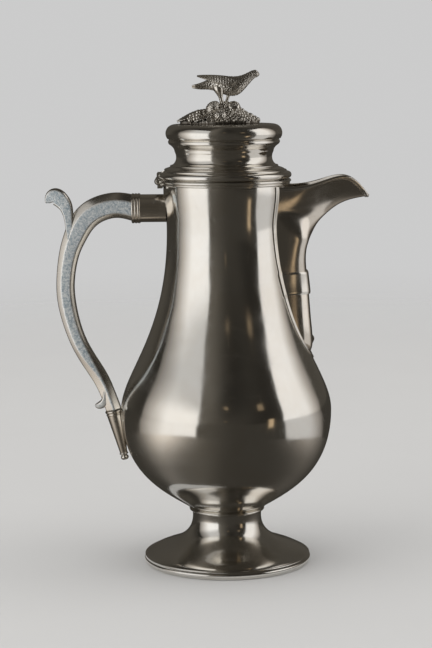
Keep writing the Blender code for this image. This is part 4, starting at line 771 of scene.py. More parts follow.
def rootedSheet(grid, depth):
    # one more column at each side, carried straight towards the axis into the body's wall
    first, last = (edge - unit(edge * [1, 1, 0]) * depth for edge in (grid[:, :1], grid[:, -1:]))
    return np.concatenate([first, grid, last], 1)


def makeSpoutShell():
    s = spoutShape
    place = np.linspace(1, placeAtHeight(s["splitZ"]) - s["splitLap"], s["rows"])[:, None]
    outer = spoutPoint(easedSides(s["sides"])[None, :], place)
    normal = sheetNormals(outer)
    inner = outer - normal * s["wall"]
    # the lip is closed by a half-round of the wall's thickness
    up = unit(outer[:1] - outer[1:2])
    half = s["wall"] / 2
    turn = np.radians([72, 50, 25])[:, None, None]
    tops = [edge[:1] + up * half * np.sin(turn) + way * normal[:1] * half * (1 - np.cos(turn))
            for edge, way in ((outer, -1), (inner, 1))]
    outer = rootedSheet(np.concatenate([tops[0], outer]), s["root"])
    inner = rootedSheet(np.concatenate([tops[1], inner]), s["root"])
    addPiece("spoutShell", thickSheet(outer, inner), "warm_silver", "body", "spout_shell")


def sheetOver(side, low, high, rows):
    # a strip of the spout's skin between two places, with its normals
    place = np.linspace(high, low, rows)[:, None]
    grid = spoutPoint(side[None, :], place)
    return grid, sheetNormals(grid)


# the band's section, outward over its thickness and down over its height
bandShape = {"height": 0.0023, "thickness": 0.00075, "under": 0.0003, "top": 0.0002, "corner": 0.00022,
             "sectionShares": ((0.80, 0.0), (1.00, 0.35), (0.55, 0.55), (0.80, 0.80), (0.40, 1.00))}
strapShape = {"lowZ": 0.1655, "highZ": 0.1790, "thickness": 0.0011, "edgeShare": 0.72, "under": 0.0002,
              "root": 0.0009, "rows": 24}


def makeBand():
    # a ring of one section, carried round the lip from joint to joint
    b = bandShape
    top, normals = sheetOver(easedSides(121), 0.97, 1.0, 12)
    down = unit(top[1] - top[0])
    corners = np.array(b["sectionShares"]) * [b["thickness"], -b["height"]]
    # the first corner stands a little over the lip's edge
    corners[0, 1] = b["top"]
    box = softCorners([(-b["under"], b["top"]), *corners, (-b["under"], -b["height"])], b["corner"], 4, True)
    grid = top[0][:, None] + normals[0][:, None] * box[None, :, :1] - down[:, None] * box[None, :, 1:]
    addPiece("spoutRimBand", solidGrid(grid), "polished_silver", "body", "spout_rim_band")


def makeStrap():
    # a skin lifted off the spout, thinner at its two edges
    s = strapShape
    skin, normal = sheetOver(easedSides(101, 1.1), placeAtHeight(s["lowZ"]), placeAtHeight(s["highZ"]),
                             s["rows"])
    level = unit(normal * [1, 1, 0])
    row = np.arange(s["rows"])
    rise = np.clip(np.minimum(row, row[::-1]) / 2.0, 0, 1)[:, None, None]
    lift = s["thickness"] * (s["edgeShare"] + (1 - s["edgeShare"]) * np.sqrt(rise))
    outer = rootedSheet(skin + level * lift, s["root"])
    inner = rootedSheet(skin - level * s["under"], s["root"])
    addPiece("spoutStrap", thickSheet(outer, inner), "polished_silver", "body", "spout_strap")


tipShape = {"bead": 0.0011, "beadZ": 0.1374, "beadHalf": 0.0024, "noseShare": 0.32, "endPlace": 0.006,
            "root": 0.0008}


def makeSpoutTip():
    # the spout's own formula below the split, with a bead swelling on the nose
    place = np.linspace(placeAtHeight(spoutShape["splitZ"]), tipShape["endPlace"], 60)[:, None]
    grid = spoutPoint(easedSides(65)[None, :], place)
    off = (grid[..., 2] - tipShape["beadZ"]) / tipShape["beadHalf"]
    nose = 1 - abs(grid[..., 1]) / (spoutShape["halfWidth"] * tipShape["noseShare"])
    grid[..., 0] += tipShape["bead"] * np.maximum(0, 1 - off ** 2) * smoothStep(0, 1, nose)
    addPiece("spoutTip", solidGrid(rootedSheet(grid, tipShape["root"])), "warm_silver", "body", "spout_tip")


flangeShape = {"width": 0.0030, "thickness": 0.0007, "points": 361, "fade": 0.001, "inward": 0.0003,
               "clear": 0.00005, "sink": 0.0005, "earWidthShare": 0.35, "earShare": 1.30,
               "reedShare": 0.85, "reedBaseShare": 0.10}


def makeFlange():
    # a moulding carried along the joint on the body: one round above the strap, a flat ear
    # under the strap's ends, two reeds below it
    f = flangeShape
    run = np.linspace(-1, 1, f["points"])
    _, _, z, width = spoutStation(abs(run))
    y = np.sign(run) * width
    out = besideLine(np.column_stack([y, z]))
    out[f["points"] // 2] = (0, -1)
    low, high = strapShape["lowZ"], strapShape["highZ"]
    above = smoothStep(low - f["fade"], low, z)[:, None]
    ear = above * (1 - smoothStep(high, high + f["fade"], z))[:, None]
    across = (1 - np.cos(np.linspace(0, np.pi, 25))) / 2
    rounded = np.maximum(0, 1 - (2 * across - 1) ** 8) ** 0.5
    reeds = np.sqrt(np.maximum(0, 1 - (4 * (across % 0.5) - 1) ** 2)) * f["reedShare"] + f["reedBaseShare"]
    box = np.minimum(1, np.minimum(across, 1 - across) * 9) ** 0.5
    lift = (rounded * above * (1 - ear) + reeds * (1 - above) + box * f["earShare"] * ear) * f["thickness"]
    wide = f["width"] * (1 + f["earWidthShare"] * ear)
    step = across * (wide + f["inward"]) - f["inward"]
    top = onBody(y[:, None] + out[:, :1] * step, z[:, None] + out[:, 1:] * step, lift + f["clear"])
    ends = step[:, [-1, 0]]
    under = onBody(y[:, None] + out[:, :1] * ends, z[:, None] + out[:, 1:] * ends, -f["sink"])
    addPiece("spoutFlange", solidGrid(np.concatenate([top, under], 1)), "polished_silver", "body",
             "spout_flange")
    print("spout made")


makeSpoutShell()
makeBand()
makeStrap()
makeSpoutTip()
makeFlange()


# sockets

socketShape = {
    "upperZ": 0.2176, "upperRadius": 0.0084, "upperWall": 0.0010, "upperLength": 0.0174, "upperSink": 0.0008,
    "collarRadius": 0.0089, "collarLength": 0.0054, "reeds": 3, "reedRise": 0.0002, "reedDepth": 0.0008,
    "lowerOff": 0.0046, "lowerRadius": 0.0049, "lowerEnd": 0.0023, "lowerLength": 0.0236,
    "lowerWall": 0.0009, "lowerBore": 0.0090, "leanDegrees": 12.0, "columns": 96,
    # the double collar: height of its neck, and each round's radius and centre over the height
    "lowerCollarRadius": 0.0055, "lowerCollarHeight": 0.0036, "collarNeckShare": 0.54,
    "upperRoundShares": (0.24, 0.26), "lowerRoundShares": (0.17, 0.76),
    "buttonRadius": 0.0027, "buttonHeight": 0.0048, "lap": 0.0001, "axisGap": 0.0002,
    # the button over its radius and height: neck, bead (radius and centre), waist, dome
    # (centre and radius) and tip
    "buttonNeckShare": 0.85, "buttonBeadShares": (0.12, 0.16), "buttonWaistShares": (0.66, 0.36),
    "buttonDomeShares": (0.35, 0.68, 0.55), "buttonTipShare": 0.99,
}


def socketPiece(name, profile, place, finish, replaced, closed=True):
    origin, axis = place
    grid = laidAlong(turnedGrid(profile, socketShape["columns"]), origin, axis)
    addPiece(name, solidGrid(grid, closed), finish, "body", replaced)


def reedProfile(start, length, radius, depth, count):
    # half-round reeds in a row, from the far end back to the start
    each = length / count
    parts = [arcCurve((radius - each / 2, start + length - each * (i + 0.5)), each / 2, 75, -75, 10)
             for i in range(count)]
    for part in parts:
        part[:, 0] = radius - (radius - part[:, 0]) * depth / (each / 2)
    return joined(*parts)


upperRoot = float(bodyRadiusAt(socketShape["upperZ"]))
upperMouth = upperRoot + socketShape["upperLength"]
lowerMouthX = bodyShape["bellyRadius"] + socketShape["lowerOff"]
lean = math.radians(socketShape["leanDegrees"])


def makeUpperSocket():
    # a tube out of the neck and its reeded collar
    s = socketShape
    place = (-upperRoot + s["upperSink"], s["upperZ"]), (-1, 0)
    length = s["upperLength"] - s["collarLength"] / 2 + s["upperSink"]
    bore = s["upperRadius"] - s["upperWall"]
    tube = joined((s["upperRadius"], length), (s["upperRadius"], 0), (bore, 0), (bore, length))
    socketPiece("upperSocket", tube, place, "warm_silver", "upper_socket")
    reeds = reedProfile(length, s["collarLength"], s["collarRadius"] + s["reedRise"], s["reedDepth"],
                        s["reeds"])
    collar = joined(reeds, (bore, length), (bore, length + s["collarLength"]))
    socketPiece("upperSocketCollar", collar, place, "warm_silver", "upper_socket_collar")


def makeLowerSocket():
    # on a leaning axis, from its mouth down: double collar, tapered tube and button
    s = socketShape
    place = (-lowerMouthX, bodyShape["bellyZ"]), (-math.sin(lean), math.cos(lean))
    tall, ring, radius, near = s["lowerCollarHeight"], s["lowerCollarRadius"], s["lowerRadius"], s["axisGap"]
    inner, neck = radius - s["lowerWall"], radius * 0.95
    wide, wideAt = (tall * share for share in s["upperRoundShares"])
    slim, slimAt = (tall * share for share in s["lowerRoundShares"])
    collar = joined(
        (ring * 0.90, 0.0), arcCurve((ring - wide, -wideAt), wide, 88, -80, 12),
        (neck, -tall * s["collarNeckShare"]), arcCurve((ring * 0.95 - slim, -slimAt), slim, 80, -80, 10),
        (neck, -tall), (inner, -tall), (inner, 0))
    socketPiece("lowerSocketCollar", collar, place, "warm_silver", "lower_socket_collar")

    top, floor, bottom = s["lap"] - tall, -tall - s["lowerBore"], -tall - s["lowerLength"]
    cone = joined((radius, top), (s["lowerEnd"], bottom), (near, bottom), (near, floor),
                  (inner * 0.8, floor), (inner, top))
    socketPiece("lowerSocket", cone, place, "warm_silver", "lower_socket")

    r, h = s["buttonRadius"], s["buttonHeight"]
    bead, beadAt = (h * share for share in s["buttonBeadShares"])
    waist, waistAt = s["buttonWaistShares"]
    middle, domeAt, dome = s["buttonDomeShares"]
    button = joined(
        (near, bottom + near), (r * s["buttonNeckShare"], bottom + near),
        arcCurve((r - bead, bottom - beadAt), bead, 80, -80, 9), (r * waist, bottom - h * waistAt),
        arcCurve((r * middle, bottom - h * domeAt), r * dome, 55, -85, 14),
        (near, bottom - h * s["buttonTipShare"]))
    socketPiece("lowerSocketButton", button, place, "polished_silver", "lower_socket_button", False)
    print("sockets made")


makeUpperSocket()
makeLowerSocket()


# handle

handleShape = {
    "reach": 0.0967, "depth": 0.0155, "topThickness": 0.0112, "rootThickness": 0.0110,
    "footThickness": 0.0086, "outerChamferShare": 0.29, "outerFallShare": 0.23, "innerChamferShare": 0.20,
    "ridgeStart": 0.72, "ridgeEnd": 0.90, "ridgeOuterShare": 0.50, "ridgeInnerShare": 0.40,
    "ridgeFallShare": 0.235, "arris": 0.0007, "scrollArrisShare": 0.8, "clear": 0.0003,
    "tenonClear": 0.0003, "tenonLength": 0.0125, "tenonChamfer": 0.0010, "tenonOut": 0.0012,
    # outward from the upper mouth to the reach, height from the lower to the upper mouth, depth
    "archShares": ((0.293, 1.016, 0.98), (0.590, 0.985, 1.00), (0.765, 0.925, 0.97),
                   (0.862, 0.858, 0.88), (0.947, 0.773, 0.77), (1.000, 0.649, 0.70)),
    # the same below the reach, outward from the lower mouth
    "fallShares": ((0.980, 0.536, 0.69), (0.860, 0.416, 0.64), (0.640, 0.295, 0.62),
                   (0.325, 0.178, 0.61), (0.138, 0.090, 0.58)),
    "endDepthShare": 0.60, "points": 260,
}
scrollShape = {
    "projection": 0.01135, "depth": 0.0098, "thickness": 0.01096, "chamferShare": 0.11, "taperShare": 0.50,
    "satin": 1.0,
    # out from the handle's reach, height as for the handle, depth
    "stationShares": ((-0.412, 0.840, 0.40), (-0.324, 0.905, 0.46), (-0.257, 0.962, 0.56),
                      (-0.104, 1.010, 0.78), (0.184, 1.042, 0.96), (0.503, 1.060, 1.02),
                      (0.768, 1.058, 0.88), (0.934, 1.046, 0.58), (1.000, 1.034, 0.36)),
}
toeShape = {
    "projection": 0.0118, "depth": 0.0050, "thickness": 0.0084, "chamferShare": 0.16, "taperShare": 0.50,
    "satin": 0.5,
    "stationShares": ((0.400, 0.095, 0.70), (0.420, 0.066, 0.85), (0.500, 0.042, 0.95),
                      (0.665, 0.027, 0.92), (0.850, 0.021, 0.78), (1.000, 0.021, 0.46)),
}


def barMesh(line, thickness, outerChamfer, innerChamfer, arris, leave, arrive):
    # an eight-sided section carried along a line of (x, z, depth): the normal is the line's
    # direction turned a quarter, each corner is softened, and both ends draw in to close; a
    # chamfer is given as its two legs, across the depth and across the thickness, and leave and
    # arrive are the directions at the two ends, where the line's own doesn't serve
    centre, depth = line[:, :2], line[:, 2]
    along = unit(np.gradient(centre, axis=0))
    if leave is not None:
        along[0] = leave
    if arrive is not None:
        along[-1] = arrive
    soft, flat = arris * np.array([1.0, 0.62, 0.3, 0.08, 0.0]), np.zeros(len(line) - 2)
    keep = np.concatenate([np.zeros(5, int), np.arange(1, len(line) - 1), np.full(5, len(line) - 1)])
    shrink = np.concatenate([soft, flat, soft[::-1]])
    shift = np.concatenate([-soft, flat, soft[::-1]])
    centre, depth, along = centre[keep] + along[keep] * shift[:, None], depth[keep], along[keep]
    a, b = depth / 2 - shrink, thickness[keep] / 2 - shrink
    (outDeep, outThick), (inDeep, inThick) = (tuple(leg[keep] for leg in pair)
                                              for pair in (outerChamfer, innerChamfer))
    corners = np.stack([np.stack(pair, -1) for pair in (
        (a, b - outThick), (a - outDeep, b), (inDeep - a, b), (-a, b - inThick), (-a, inThick - b),
        (inDeep - a, -b), (a - outDeep, -b), (a, outThick - b))], 1)
    section = softCorners(corners, arris, 5, True)
    ease = np.linspace(0, 1, 5)
    half = np.concatenate([0 * ease, ease, ease[::-1], 0 * ease])
    satin = np.tile(np.concatenate([half, half]), len(keep))
    normal = np.column_stack([along[:, 1], -along[:, 0]])
    x = centre[:, None, 0] + normal[:, None, 0] * section[..., 0]
    z = centre[:, None, 1] + normal[:, None, 1] * section[..., 0]
    return solidGrid(np.stack([x, section[..., 1], z], -1)), satin


def handleHeight(share):
    low = bodyShape["bellyZ"]
    return low + (socketShape["upperZ"] - low) * share


def sideLine(shape, root, count):
    # a scroll's line: its end face stands out from the root, its heights run as the handle's
    run = shape["projection"] - shape["depth"] * shape["stationShares"][-1][2] / 2
    points = [(-root - run * out, handleHeight(up), shape["depth"] * deep)
              for out, up, deep in shape["stationShares"]]
    return evenly(splineThrough(points, np.linspace(0, 1, count * 4)), count)


def makeHandle():
    h = handleShape
    end = (-lowerMouthX - math.sin(lean) * h["clear"], bodyShape["bellyZ"] + math.cos(lean) * h["clear"])
    points = [(-upperMouth - h["clear"], socketShape["upperZ"], h["depth"])]
    for near, stations in ((upperMouth, h["archShares"]), (lowerMouthX, h["fallShares"])):
        points += [(-near - (h["reach"] - near) * out, handleHeight(up), h["depth"] * deep)
                   for out, up, deep in stations]
    points.append((*end, h["depth"] * h["endDepthShare"]))
    line = evenly(splineThrough(points, np.linspace(0, 1, 1200)), h["points"])
    run = np.linspace(0, 1, len(line))
    thickness = np.interp(run, [0, 0.45, 1], [h["topThickness"], h["rootThickness"], h["footThickness"]])
    deep = line[:, 2]
    ridge = smoothStep(h["ridgeStart"], h["ridgeEnd"], run)

    def toRidge(start, end):
        # a leg of a chamfer, which goes over into the ridge's towards the foot
        return deep * (h[start] * (1 - ridge) + h[end] * ridge)

    outer = (toRidge("outerChamferShare", "ridgeOuterShare"), toRidge("outerFallShare", "ridgeFallShare"))
    inner = (toRidge("innerChamferShare", "ridgeInnerShare"), toRidge("innerChamferShare", "ridgeFallShare"))
    forms = [barMesh(line, thickness, outer, inner, h["arris"], (-1, 0),
                     (math.sin(lean), -math.cos(lean)))]
    for shape, root, arrive in ((scrollShape, h["reach"], (0, -1)), (toeShape, lowerMouthX, None)):
        side = sideLine(shape, root, 120)
        chamfer = (side[:, 2] * shape["chamferShare"],) * 2
        thick = shape["thickness"] * np.linspace(1, shape["taperShare"], len(side))
        mesh, face = barMesh(side, thick, chamfer, chamfer, h["arris"] * h["scrollArrisShare"], None, arrive)
        forms.append((mesh, face * shape["satin"]))
    # the tenon in the upper socket
    radius, length = socketShape["upperRadius"] - socketShape["upperWall"] - h["tenonClear"], h["tenonLength"]
    profile = np.array([(radius * 0.9, length), (radius, length - h["tenonChamfer"]), (radius, 0)])
    tenon = turnedGrid(profile, 48)
    peg = solidGrid(laidAlong(tenon, (-upperMouth - h["tenonOut"], socketShape["upperZ"]), (1, 0)))
    forms.append((peg, np.zeros(len(peg[0]))))
    addPiece("handleBar", merged(*[mesh for mesh, _ in forms]), "brushed_silver", "body", "handle", 30,
             satin=np.concatenate([satin for _, satin in forms]))
    print("handle made")


makeHandle()


# bird and its mound

birdShape = {
    "length": 0.0404, "tailX": -0.0189, "bellyZ": 0.2842, "height": 0.0156, "halfWidth": 0.0057,
    # along the bird, middle height and half height over its height, half width
    "stationShares": (
        (0.000, 0.385, 0.050, 0.50), (0.060, 0.385, 0.090, 0.70), (0.170, 0.420, 0.150, 0.66),
        (0.290, 0.480, 0.235, 0.66), (0.440, 0.440, 0.335, 0.92), (0.590, 0.390, 0.375, 1.00),
        (0.710, 0.445, 0.340, 0.90), (0.810, 0.620, 0.260, 0.66), (0.885, 0.775, 0.195, 0.50),
        (0.940, 0.852, 0.148, 0.42), (0.978, 0.845, 0.104, 0.32), (1.000, 0.825, 0.030, 0.09)),
    "rows": 250, "columns": 144, "featherRows": 27, "featherColumns": 21, "feather": 0.00034,
    # the tail ends here along the bird, in barbs instead of feathers; the beak's tip is smooth
    "tailFrom": 0.12, "tailTo": 0.24, "tailBarbs": 14, "beakFrom": 0.95, "least": 0.0002,
    # each leg: foot and hip as (x, y), hip height over the bird's belly, hip and ankle radius
    "legs": (((-0.0008, -0.0022), (-0.0034, -0.0024), 0.0058, 0.0034, 0.00125),
             ((0.0014, 0.0018), (0.0042, 0.0022), 0.0046, 0.0022, 0.00100)),
    # leg radii from foot to hip as shares of the ankle's and then of the thigh's; toes as turn
    # and length, each starting a share of the ankle over the ground and curling down
    "ankleShares": (1.25, 1.0), "thighShares": (0.52, 0.86, 1.0), "toeShare": 0.8, "toeRiseShare": 0.6,
    "toes": ((-0.6, 0.0036), (0.0, 0.0042), (0.6, 0.0036), (3.1, 0.0026)),
}
# chased work gets painted shade where its relief is low: level, slope and depth of the dark
chasing = {"body": (0.62, 1.3, 0.8), "wing": (0.60, 1.2, 0.8), "fruit": (0.55, 0.75, 1.0),
           "ground": (0.55, 0.45, 1.0)}


def hollowShade(relief, part):
    # painted shade, deeper where the relief is low
    level, slope, depth = chasing[part]
    return np.clip(level - relief * slope, 0, 1) * depth


def scallops(along, around, rows, columns):
    # overlapping feathers: staggered rounded cells, each rising towards its free end
    row = (along + 0.010 * np.sin(around * 44 + along * 60)) * rows
    stagger = np.where(np.floor(row) % 2 > 0, 0.5, 0.0)
    cell = (around * columns + stagger) % 1 - 0.5
    depth = (row - 0.175 * (1 - np.cos(2 * np.pi * cell))) % 1
    return depth ** 1.3 * (0.72 + 0.28 * np.cos(2 * np.pi * cell))


def taperedRod(foot, hip, radii):
    # a straight axis whose radius runs through the given radii by a spline
    u = np.linspace(0, 1, 30)[:, None]
    foot, hip = np.asarray(foot, float), np.asarray(hip, float)
    radius = splineThrough(np.array(radii)[:, None], u[:, 0])
    a = ringAngles(24)
    grid = foot + (hip - foot) * u[..., None]
    ring = np.stack([np.cos(a), np.sin(a), 0 * a], -1)
    return grid + radius[:, None] * ring


def birdLeg(leg, ground):
    # a shank that swells into the thigh, and four toes that curl down at their ends
    s = birdShape
    (footX, footY), (hipX, hipY), hipUp, thigh, ankle = leg
    foot, hip = (footX, footY, ground), (hipX, hipY, s["bellyZ"] + hipUp)
    radii = [ankle * share for share in s["ankleShares"]] + [thigh * share for share in s["thighShares"]]
    forms = [taperedRod(foot, hip, radii)]
    reach = np.linspace(0, 1, 14)[:, None]
    ring = ringAngles(12)
    thick = ankle * s["toeShare"] * (1 - 0.55 * reach) * (1 + 0.12 * np.cos(reach * 16))
    for turn, length in s["toes"]:
        forward, beside = math.cos(turn), math.sin(turn)
        forms.append(np.stack([
            footX + reach * length * forward - thick * np.cos(ring) * beside,
            footY + reach * length * beside + thick * np.cos(ring) * forward,
            ground + ankle * (s["toeRiseShare"] - 2 * reach ** 2) + thick * np.sin(ring)], -1))
    return forms


def makeBird():
    s = birdShape
    u = np.linspace(0, 1, s["rows"])
    along, middle, halfHigh, halfWide = splineThrough(s["stationShares"], u).T
    v = np.arange(s["columns"]) / s["columns"]
    a = ringAngles(s["columns"])
    x = s["tailX"] + along * s["length"]
    z = s["bellyZ"] + middle * s["height"]
    high = np.maximum(halfHigh * s["height"], s["least"])[:, None]
    wide = np.maximum(halfWide * s["halfWidth"], s["least"])[:, None]
    plume = scallops(1 - along[:, None], v[None, :] + 0 * along[:, None], s["featherRows"],
                     s["featherColumns"])
    tail = 1 - smoothStep(s["tailFrom"], s["tailTo"], along)[:, None]
    barbs = 0.5 + 0.5 * np.cos(a[None, :] * s["tailBarbs"])
    relief = (plume * (1 - tail) + barbs * tail) * smoothStep(1.0, s["beakFrom"], along)[:, None]
    swell = 1 + (relief - 0.5) * s["feather"] / np.sqrt(high * wide)
    grid = np.stack([x[:, None] + 0 * a, wide * swell * np.cos(a), z[:, None] + high * swell * np.sin(a)], -1)
    # painted shade between the feathers, where the relief is low
    forms, hollow = [grid[::-1]], [hollowShade(relief[::-1], "body")]
    ground = lidShape["topZ"] + lidShape["crownRise"] + moundShape["standHeight"]
    for leg in s["legs"]:
        for form in birdLeg(leg, ground):
            forms.append(form)
            hollow.append(np.zeros(form.shape[:2]))
    addPiece("finialBird", merged(*[solidGrid(form) for form in forms]), "cast_silver", "lid",
             "finial_bird", 60, np.concatenate([part.reshape(-1) for part in hollow]))


wingShape = {
    "length": 0.0238, "backX": -0.0158, "height": 0.0058, "thickness": 0.0014, "topZ": 0.2971,
    "frontSpread": 0.0063, "backSpread": 0.0044, "edgeShare": 0.13, "flights": 5, "coverts": (15, 5),
    "shortFrom": 0.30, "shortTo": 0.50, "leastShare": 0.05, "edgeRelief": 0.85,
    "rows": 170, "columns": 84,
    # along the wing from tip to shoulder, top edge drop, height, spread
    "stationShares": ((0.00, 0.04, 0.14, 0.00), (0.12, 0.00, 0.36, 0.15), (0.35, 0.00, 0.66, 0.50),
                      (0.60, 0.06, 0.92, 0.85), (0.82, 0.20, 0.90, 1.00), (1.00, 0.48, 0.30, 0.85)),
}


def makeWing(name, side, replaced):
    # a plate from tip to shoulder with a smooth top edge; long feathers towards the tip, small
    # ones at the shoulder
    w = wingShape
    u = np.linspace(0, 1, w["rows"])
    along, drop, tall, spread = splineThrough(w["stationShares"], u).T
    a = ringAngles(w["columns"])
    x = w["backX"] + along * w["length"]
    y = side * (w["backSpread"] + (w["frontSpread"] - w["backSpread"]) * spread)
    high = np.maximum(tall, w["leastShare"]) * w["height"]
    top = w["topZ"] - drop * w["height"]
    across = (1 - np.cos(a)) / 2
    flights = 0.5 + 0.5 * np.cos(2 * np.pi * (across[None, :] * w["flights"] + u[:, None] * 0.3))
    coverts = scallops(1 - along[:, None], across[None, :] + 0 * u[:, None], *w["coverts"])
    short = smoothStep(w["shortFrom"], w["shortTo"], along)[:, None]
    relief = flights * (1 - short) + coverts * short
    edge = smoothStep(w["edgeShare"] * 0.6, w["edgeShare"] * 1.5, across)[None, :]
    relief = w["edgeRelief"] + (relief - w["edgeRelief"]) * edge
    thick = w["thickness"] * (0.62 + 0.20 * relief) * np.sin(a) * np.sign(side)
    grid = np.stack([x[:, None] + 0 * a, y[:, None] + thick, top[:, None] - high[:, None] * across], -1)
    # painted shade between the feathers; the smooth top edge keeps little of it
    hollow = hollowShade(relief, "wing").reshape(-1)
    addPiece(name, solidGrid(grid), "cast_silver", "lid", replaced, 60, hollow)


moundShape = {
    "left": 0.0282, "right": 0.0214, "halfWidth": 0.0150, "height": 0.0106, "edge": 0.0011,
    "standX": 0.0009, "standHeight": 0.0116, "standRadius": 0.0052, "lobes": 7, "lobeShare": 0.10,
    "rings": 70, "spokes": 200, "sink": 0.0001, "skirtShade": 0.85, "grain": 0.00030,
    # leaves on the ground: root and tip as shares of the half lengths, width, arch
    "leafShares": (
        ((-0.40, -0.04), (-0.97, -0.16), 0.34, 0.05), ((-0.70, -0.34), (-0.99, -0.28), 0.30, 0.03),
        ((-0.34, 0.22), (-0.94, 0.34), 0.46, 0.085), ((-0.30, -0.62), (-0.62, -0.80), 0.42, 0.06),
        ((0.34, -0.62), (0.66, -0.74), 0.40, 0.06), ((0.30, 0.40), (0.80, 0.55), 0.46, 0.09),
        ((-0.10, 0.56), (-0.46, 0.86), 0.40, 0.07), ((0.20, 0.60), (0.34, 0.92), 0.36, 0.07)),
    # fruit: place as shares of the half lengths, height over the ground, axis, length, radius,
    # the kind of its skin with its count along and around, and taper
    "fruits": (
        ((-0.23, -0.34), 0.0012, (0.5, -0.35, 1), 0.0088, 0.0037, "granules", (12, 14), -0.15),
        ((-0.20, 0.36), 0.0012, (0.4, 0.35, 1), 0.0084, 0.0036, "granules", (11, 13), -0.15),
        ((0.28, -0.22), 0.0006, (0.12, -0.9, 0.62), 0.0052, 0.0038, "rings", (4, 9), 0.0),
        ((0.28, 0.26), 0.0006, (0.12, 0.9, 0.62), 0.0052, 0.0038, "rings", (4, 9), 0.0),
        ((-0.08, -0.74), 0.0010, (0.1, -0.5, 0.9), 0.0056, 0.0036, "granules", (7, 14), 0.0),
        ((-0.02, 0.80), 0.0010, (-0.1, 0.5, 0.9), 0.0066, 0.0040, "granules", (8, 16), 0.0)),
}
# the small round things on the mound: their number and radius, how far each radius varies,
# how far they stand up over their radius, and where they lie
berryLook = {"count": 72, "radius": 0.00122, "vary": (0.84, 0.26, 2.1), "riseShare": 0.35,
             "x": 0.0122, "y": -0.0002, "spreadX": 0.0094, "spreadY": 0.0122, "round": 1.12}
pebbleLook = {"count": 330, "radius": 0.00066, "vary": (1.0, 0.28, 3.7), "riseShare": 0.25, "spread": 0.97,
              "clear": 6.0}
budLook = {"rows": 3, "each": 3, "radius": 0.00150, "vary": (0.9, 0.12, 1.7), "riseShare": 0.75,
           "x": -0.0176, "stepX": 0.0025, "wanderX": 0.0005, "y": 0.0106, "stepY": 0.0022, "lift": 0.0003}
goldenAngle = math.radians(137.508)
moundBase = lidShape["topZ"] + lidShape["crownRise"] - moundShape["sink"]


def moundReach(right):
    # the mound's half length on a side, counted from the stand's middle
    m = moundShape
    return np.where(right, m["right"] - m["standX"], m["left"] + m["standX"])


def moundHeight(x, y):
    # a hill whose sides fall as (1 - out^1.5)^1.1 to its edge, with a level stand on top
    m = moundShape
    off = x - m["standX"]
    out = np.clip(np.hypot(off / moundReach(off > 0), y / m["halfWidth"]), 0, 1)
    hill = m["edge"] + (m["height"] - m["edge"]) * (1 - out ** 1.5) ** 1.1
    near = np.exp(-(np.hypot(off, y) / m["standRadius"]) ** 4)
    return hill + (m["standHeight"] - hill) * near


def onMound(share):
    # the point of the ground at shares of its half lengths, seen from its middle
    m = moundShape
    x = share[0] * (m["right"] if share[0] > 0 else m["left"])
    y = share[1] * m["halfWidth"]
    return np.array([x, y, moundBase + float(moundHeight(x, y))])


leafLook = {"lobes": 5, "lobeShare": 0.07, "thickness": 0.00055, "edge": 0.0002, "veins": 10,
            "slant": 2.2, "veinRise": 0.00016, "ribRise": 0.00034, "ribShare": 0.10, "droopShare": 0.26,
            "rows": 60, "columns": 40}


def leaf(rootShare, tipShare, wideShare, archShare):
    # across: width * sin(pi u^0.8); its edges droop, and veins run from midrib to edge
    look = leafLook
    root, tip = onMound(rootShare), onMound(tipShare)
    way = tip - root
    length = np.linalg.norm(way)
    way /= length
    across = unit(np.cross(way, [0, 0, 1]))
    up = np.cross(across, way)
    u = np.linspace(0.01, 0.99, look["rows"])[:, None]
    a = ringAngles(look["columns"])[None, :]
    side, over = np.cos(a), np.sin(a)
    lobes = 1 + look["lobeShare"] * np.cos(2 * np.pi * u * look["lobes"])
    half = length * wideShare / 2 * np.sin(np.pi * u ** 0.8) ** 0.75 * lobes + look["edge"]
    vein = 0.5 + 0.5 * np.cos(2 * np.pi * (u * look["veins"] - look["slant"] * abs(side)))
    rib = np.exp(-(side / look["ribShare"]) ** 2)
    raised = np.maximum(over, 0) ** 0.5 * (look["veinRise"] * vein + look["ribRise"] * rib)
    thick = look["thickness"] * over + raised
    height = length * archShare * np.sin(np.pi * u) ** 0.9 + thick - half * look["droopShare"] * side ** 2
    grid = root + way * (u * length)[..., None] + across * (half * side)[..., None] + up * height[..., None]
    # painted shade between the veins, and more of it under the leaf
    hollow = np.clip(0.75 - 0.75 * vein - rib, 0, 1) + np.where(over < -0.2, 0.6, 0)
    return grid, np.clip(hollow * 0.8 + 0.1, 0, 1) + 0 * u


def fruit(centre, axis, length, radius, bumps, rows=44, columns=56, taper=0.0):
    # about an axis: radius * sin(pi u) * (1 - taper cos(pi u)), its skin raised by bumps(u, a)
    axis = unit(np.asarray(axis, float))
    side = unit(np.cross(axis, [0.31, 0.17, 0.93]))
    other = np.cross(axis, side)
    u = np.linspace(0.03, 0.97, rows)[:, None]
    a = ringAngles(columns)[None, :]
    bump = bumps(u, a) + 0 * u + 0 * a
    reach = radius * (np.sin(np.pi * u) * (1 - taper * np.cos(np.pi * u)) + 0.10 * bump * np.sin(np.pi * u))
    along = -np.cos(np.pi * u) * length / 2 * (1 + 0.08 * bump)
    grid = centre + axis * along[..., None] + side * (reach * np.cos(a))[..., None] \
        + other * (reach * np.sin(a))[..., None]
    # painted shade in the skin's low parts; smooth berries and pebbles get one even level of it
    return grid, hollowShade(bump, "fruit")


def granules(count, turns):
    # rows of grains that step by half a grain from row to row
    def bumps(u, a):
        row = u * count
        stagger = np.floor(row) % 2 * np.pi
        return np.abs(np.sin(np.pi * row)) ** 0.6 * (0.5 + 0.5 * np.cos(a * turns + stagger)) ** 0.6
    return bumps


def rings(count, turns):
    # rings round the tip, cut into grains
    def bumps(u, a):
        return (0.5 + 0.5 * np.cos(2 * np.pi * count * u)) * (0.72 + 0.28 * np.cos(a * turns))
    return bumps


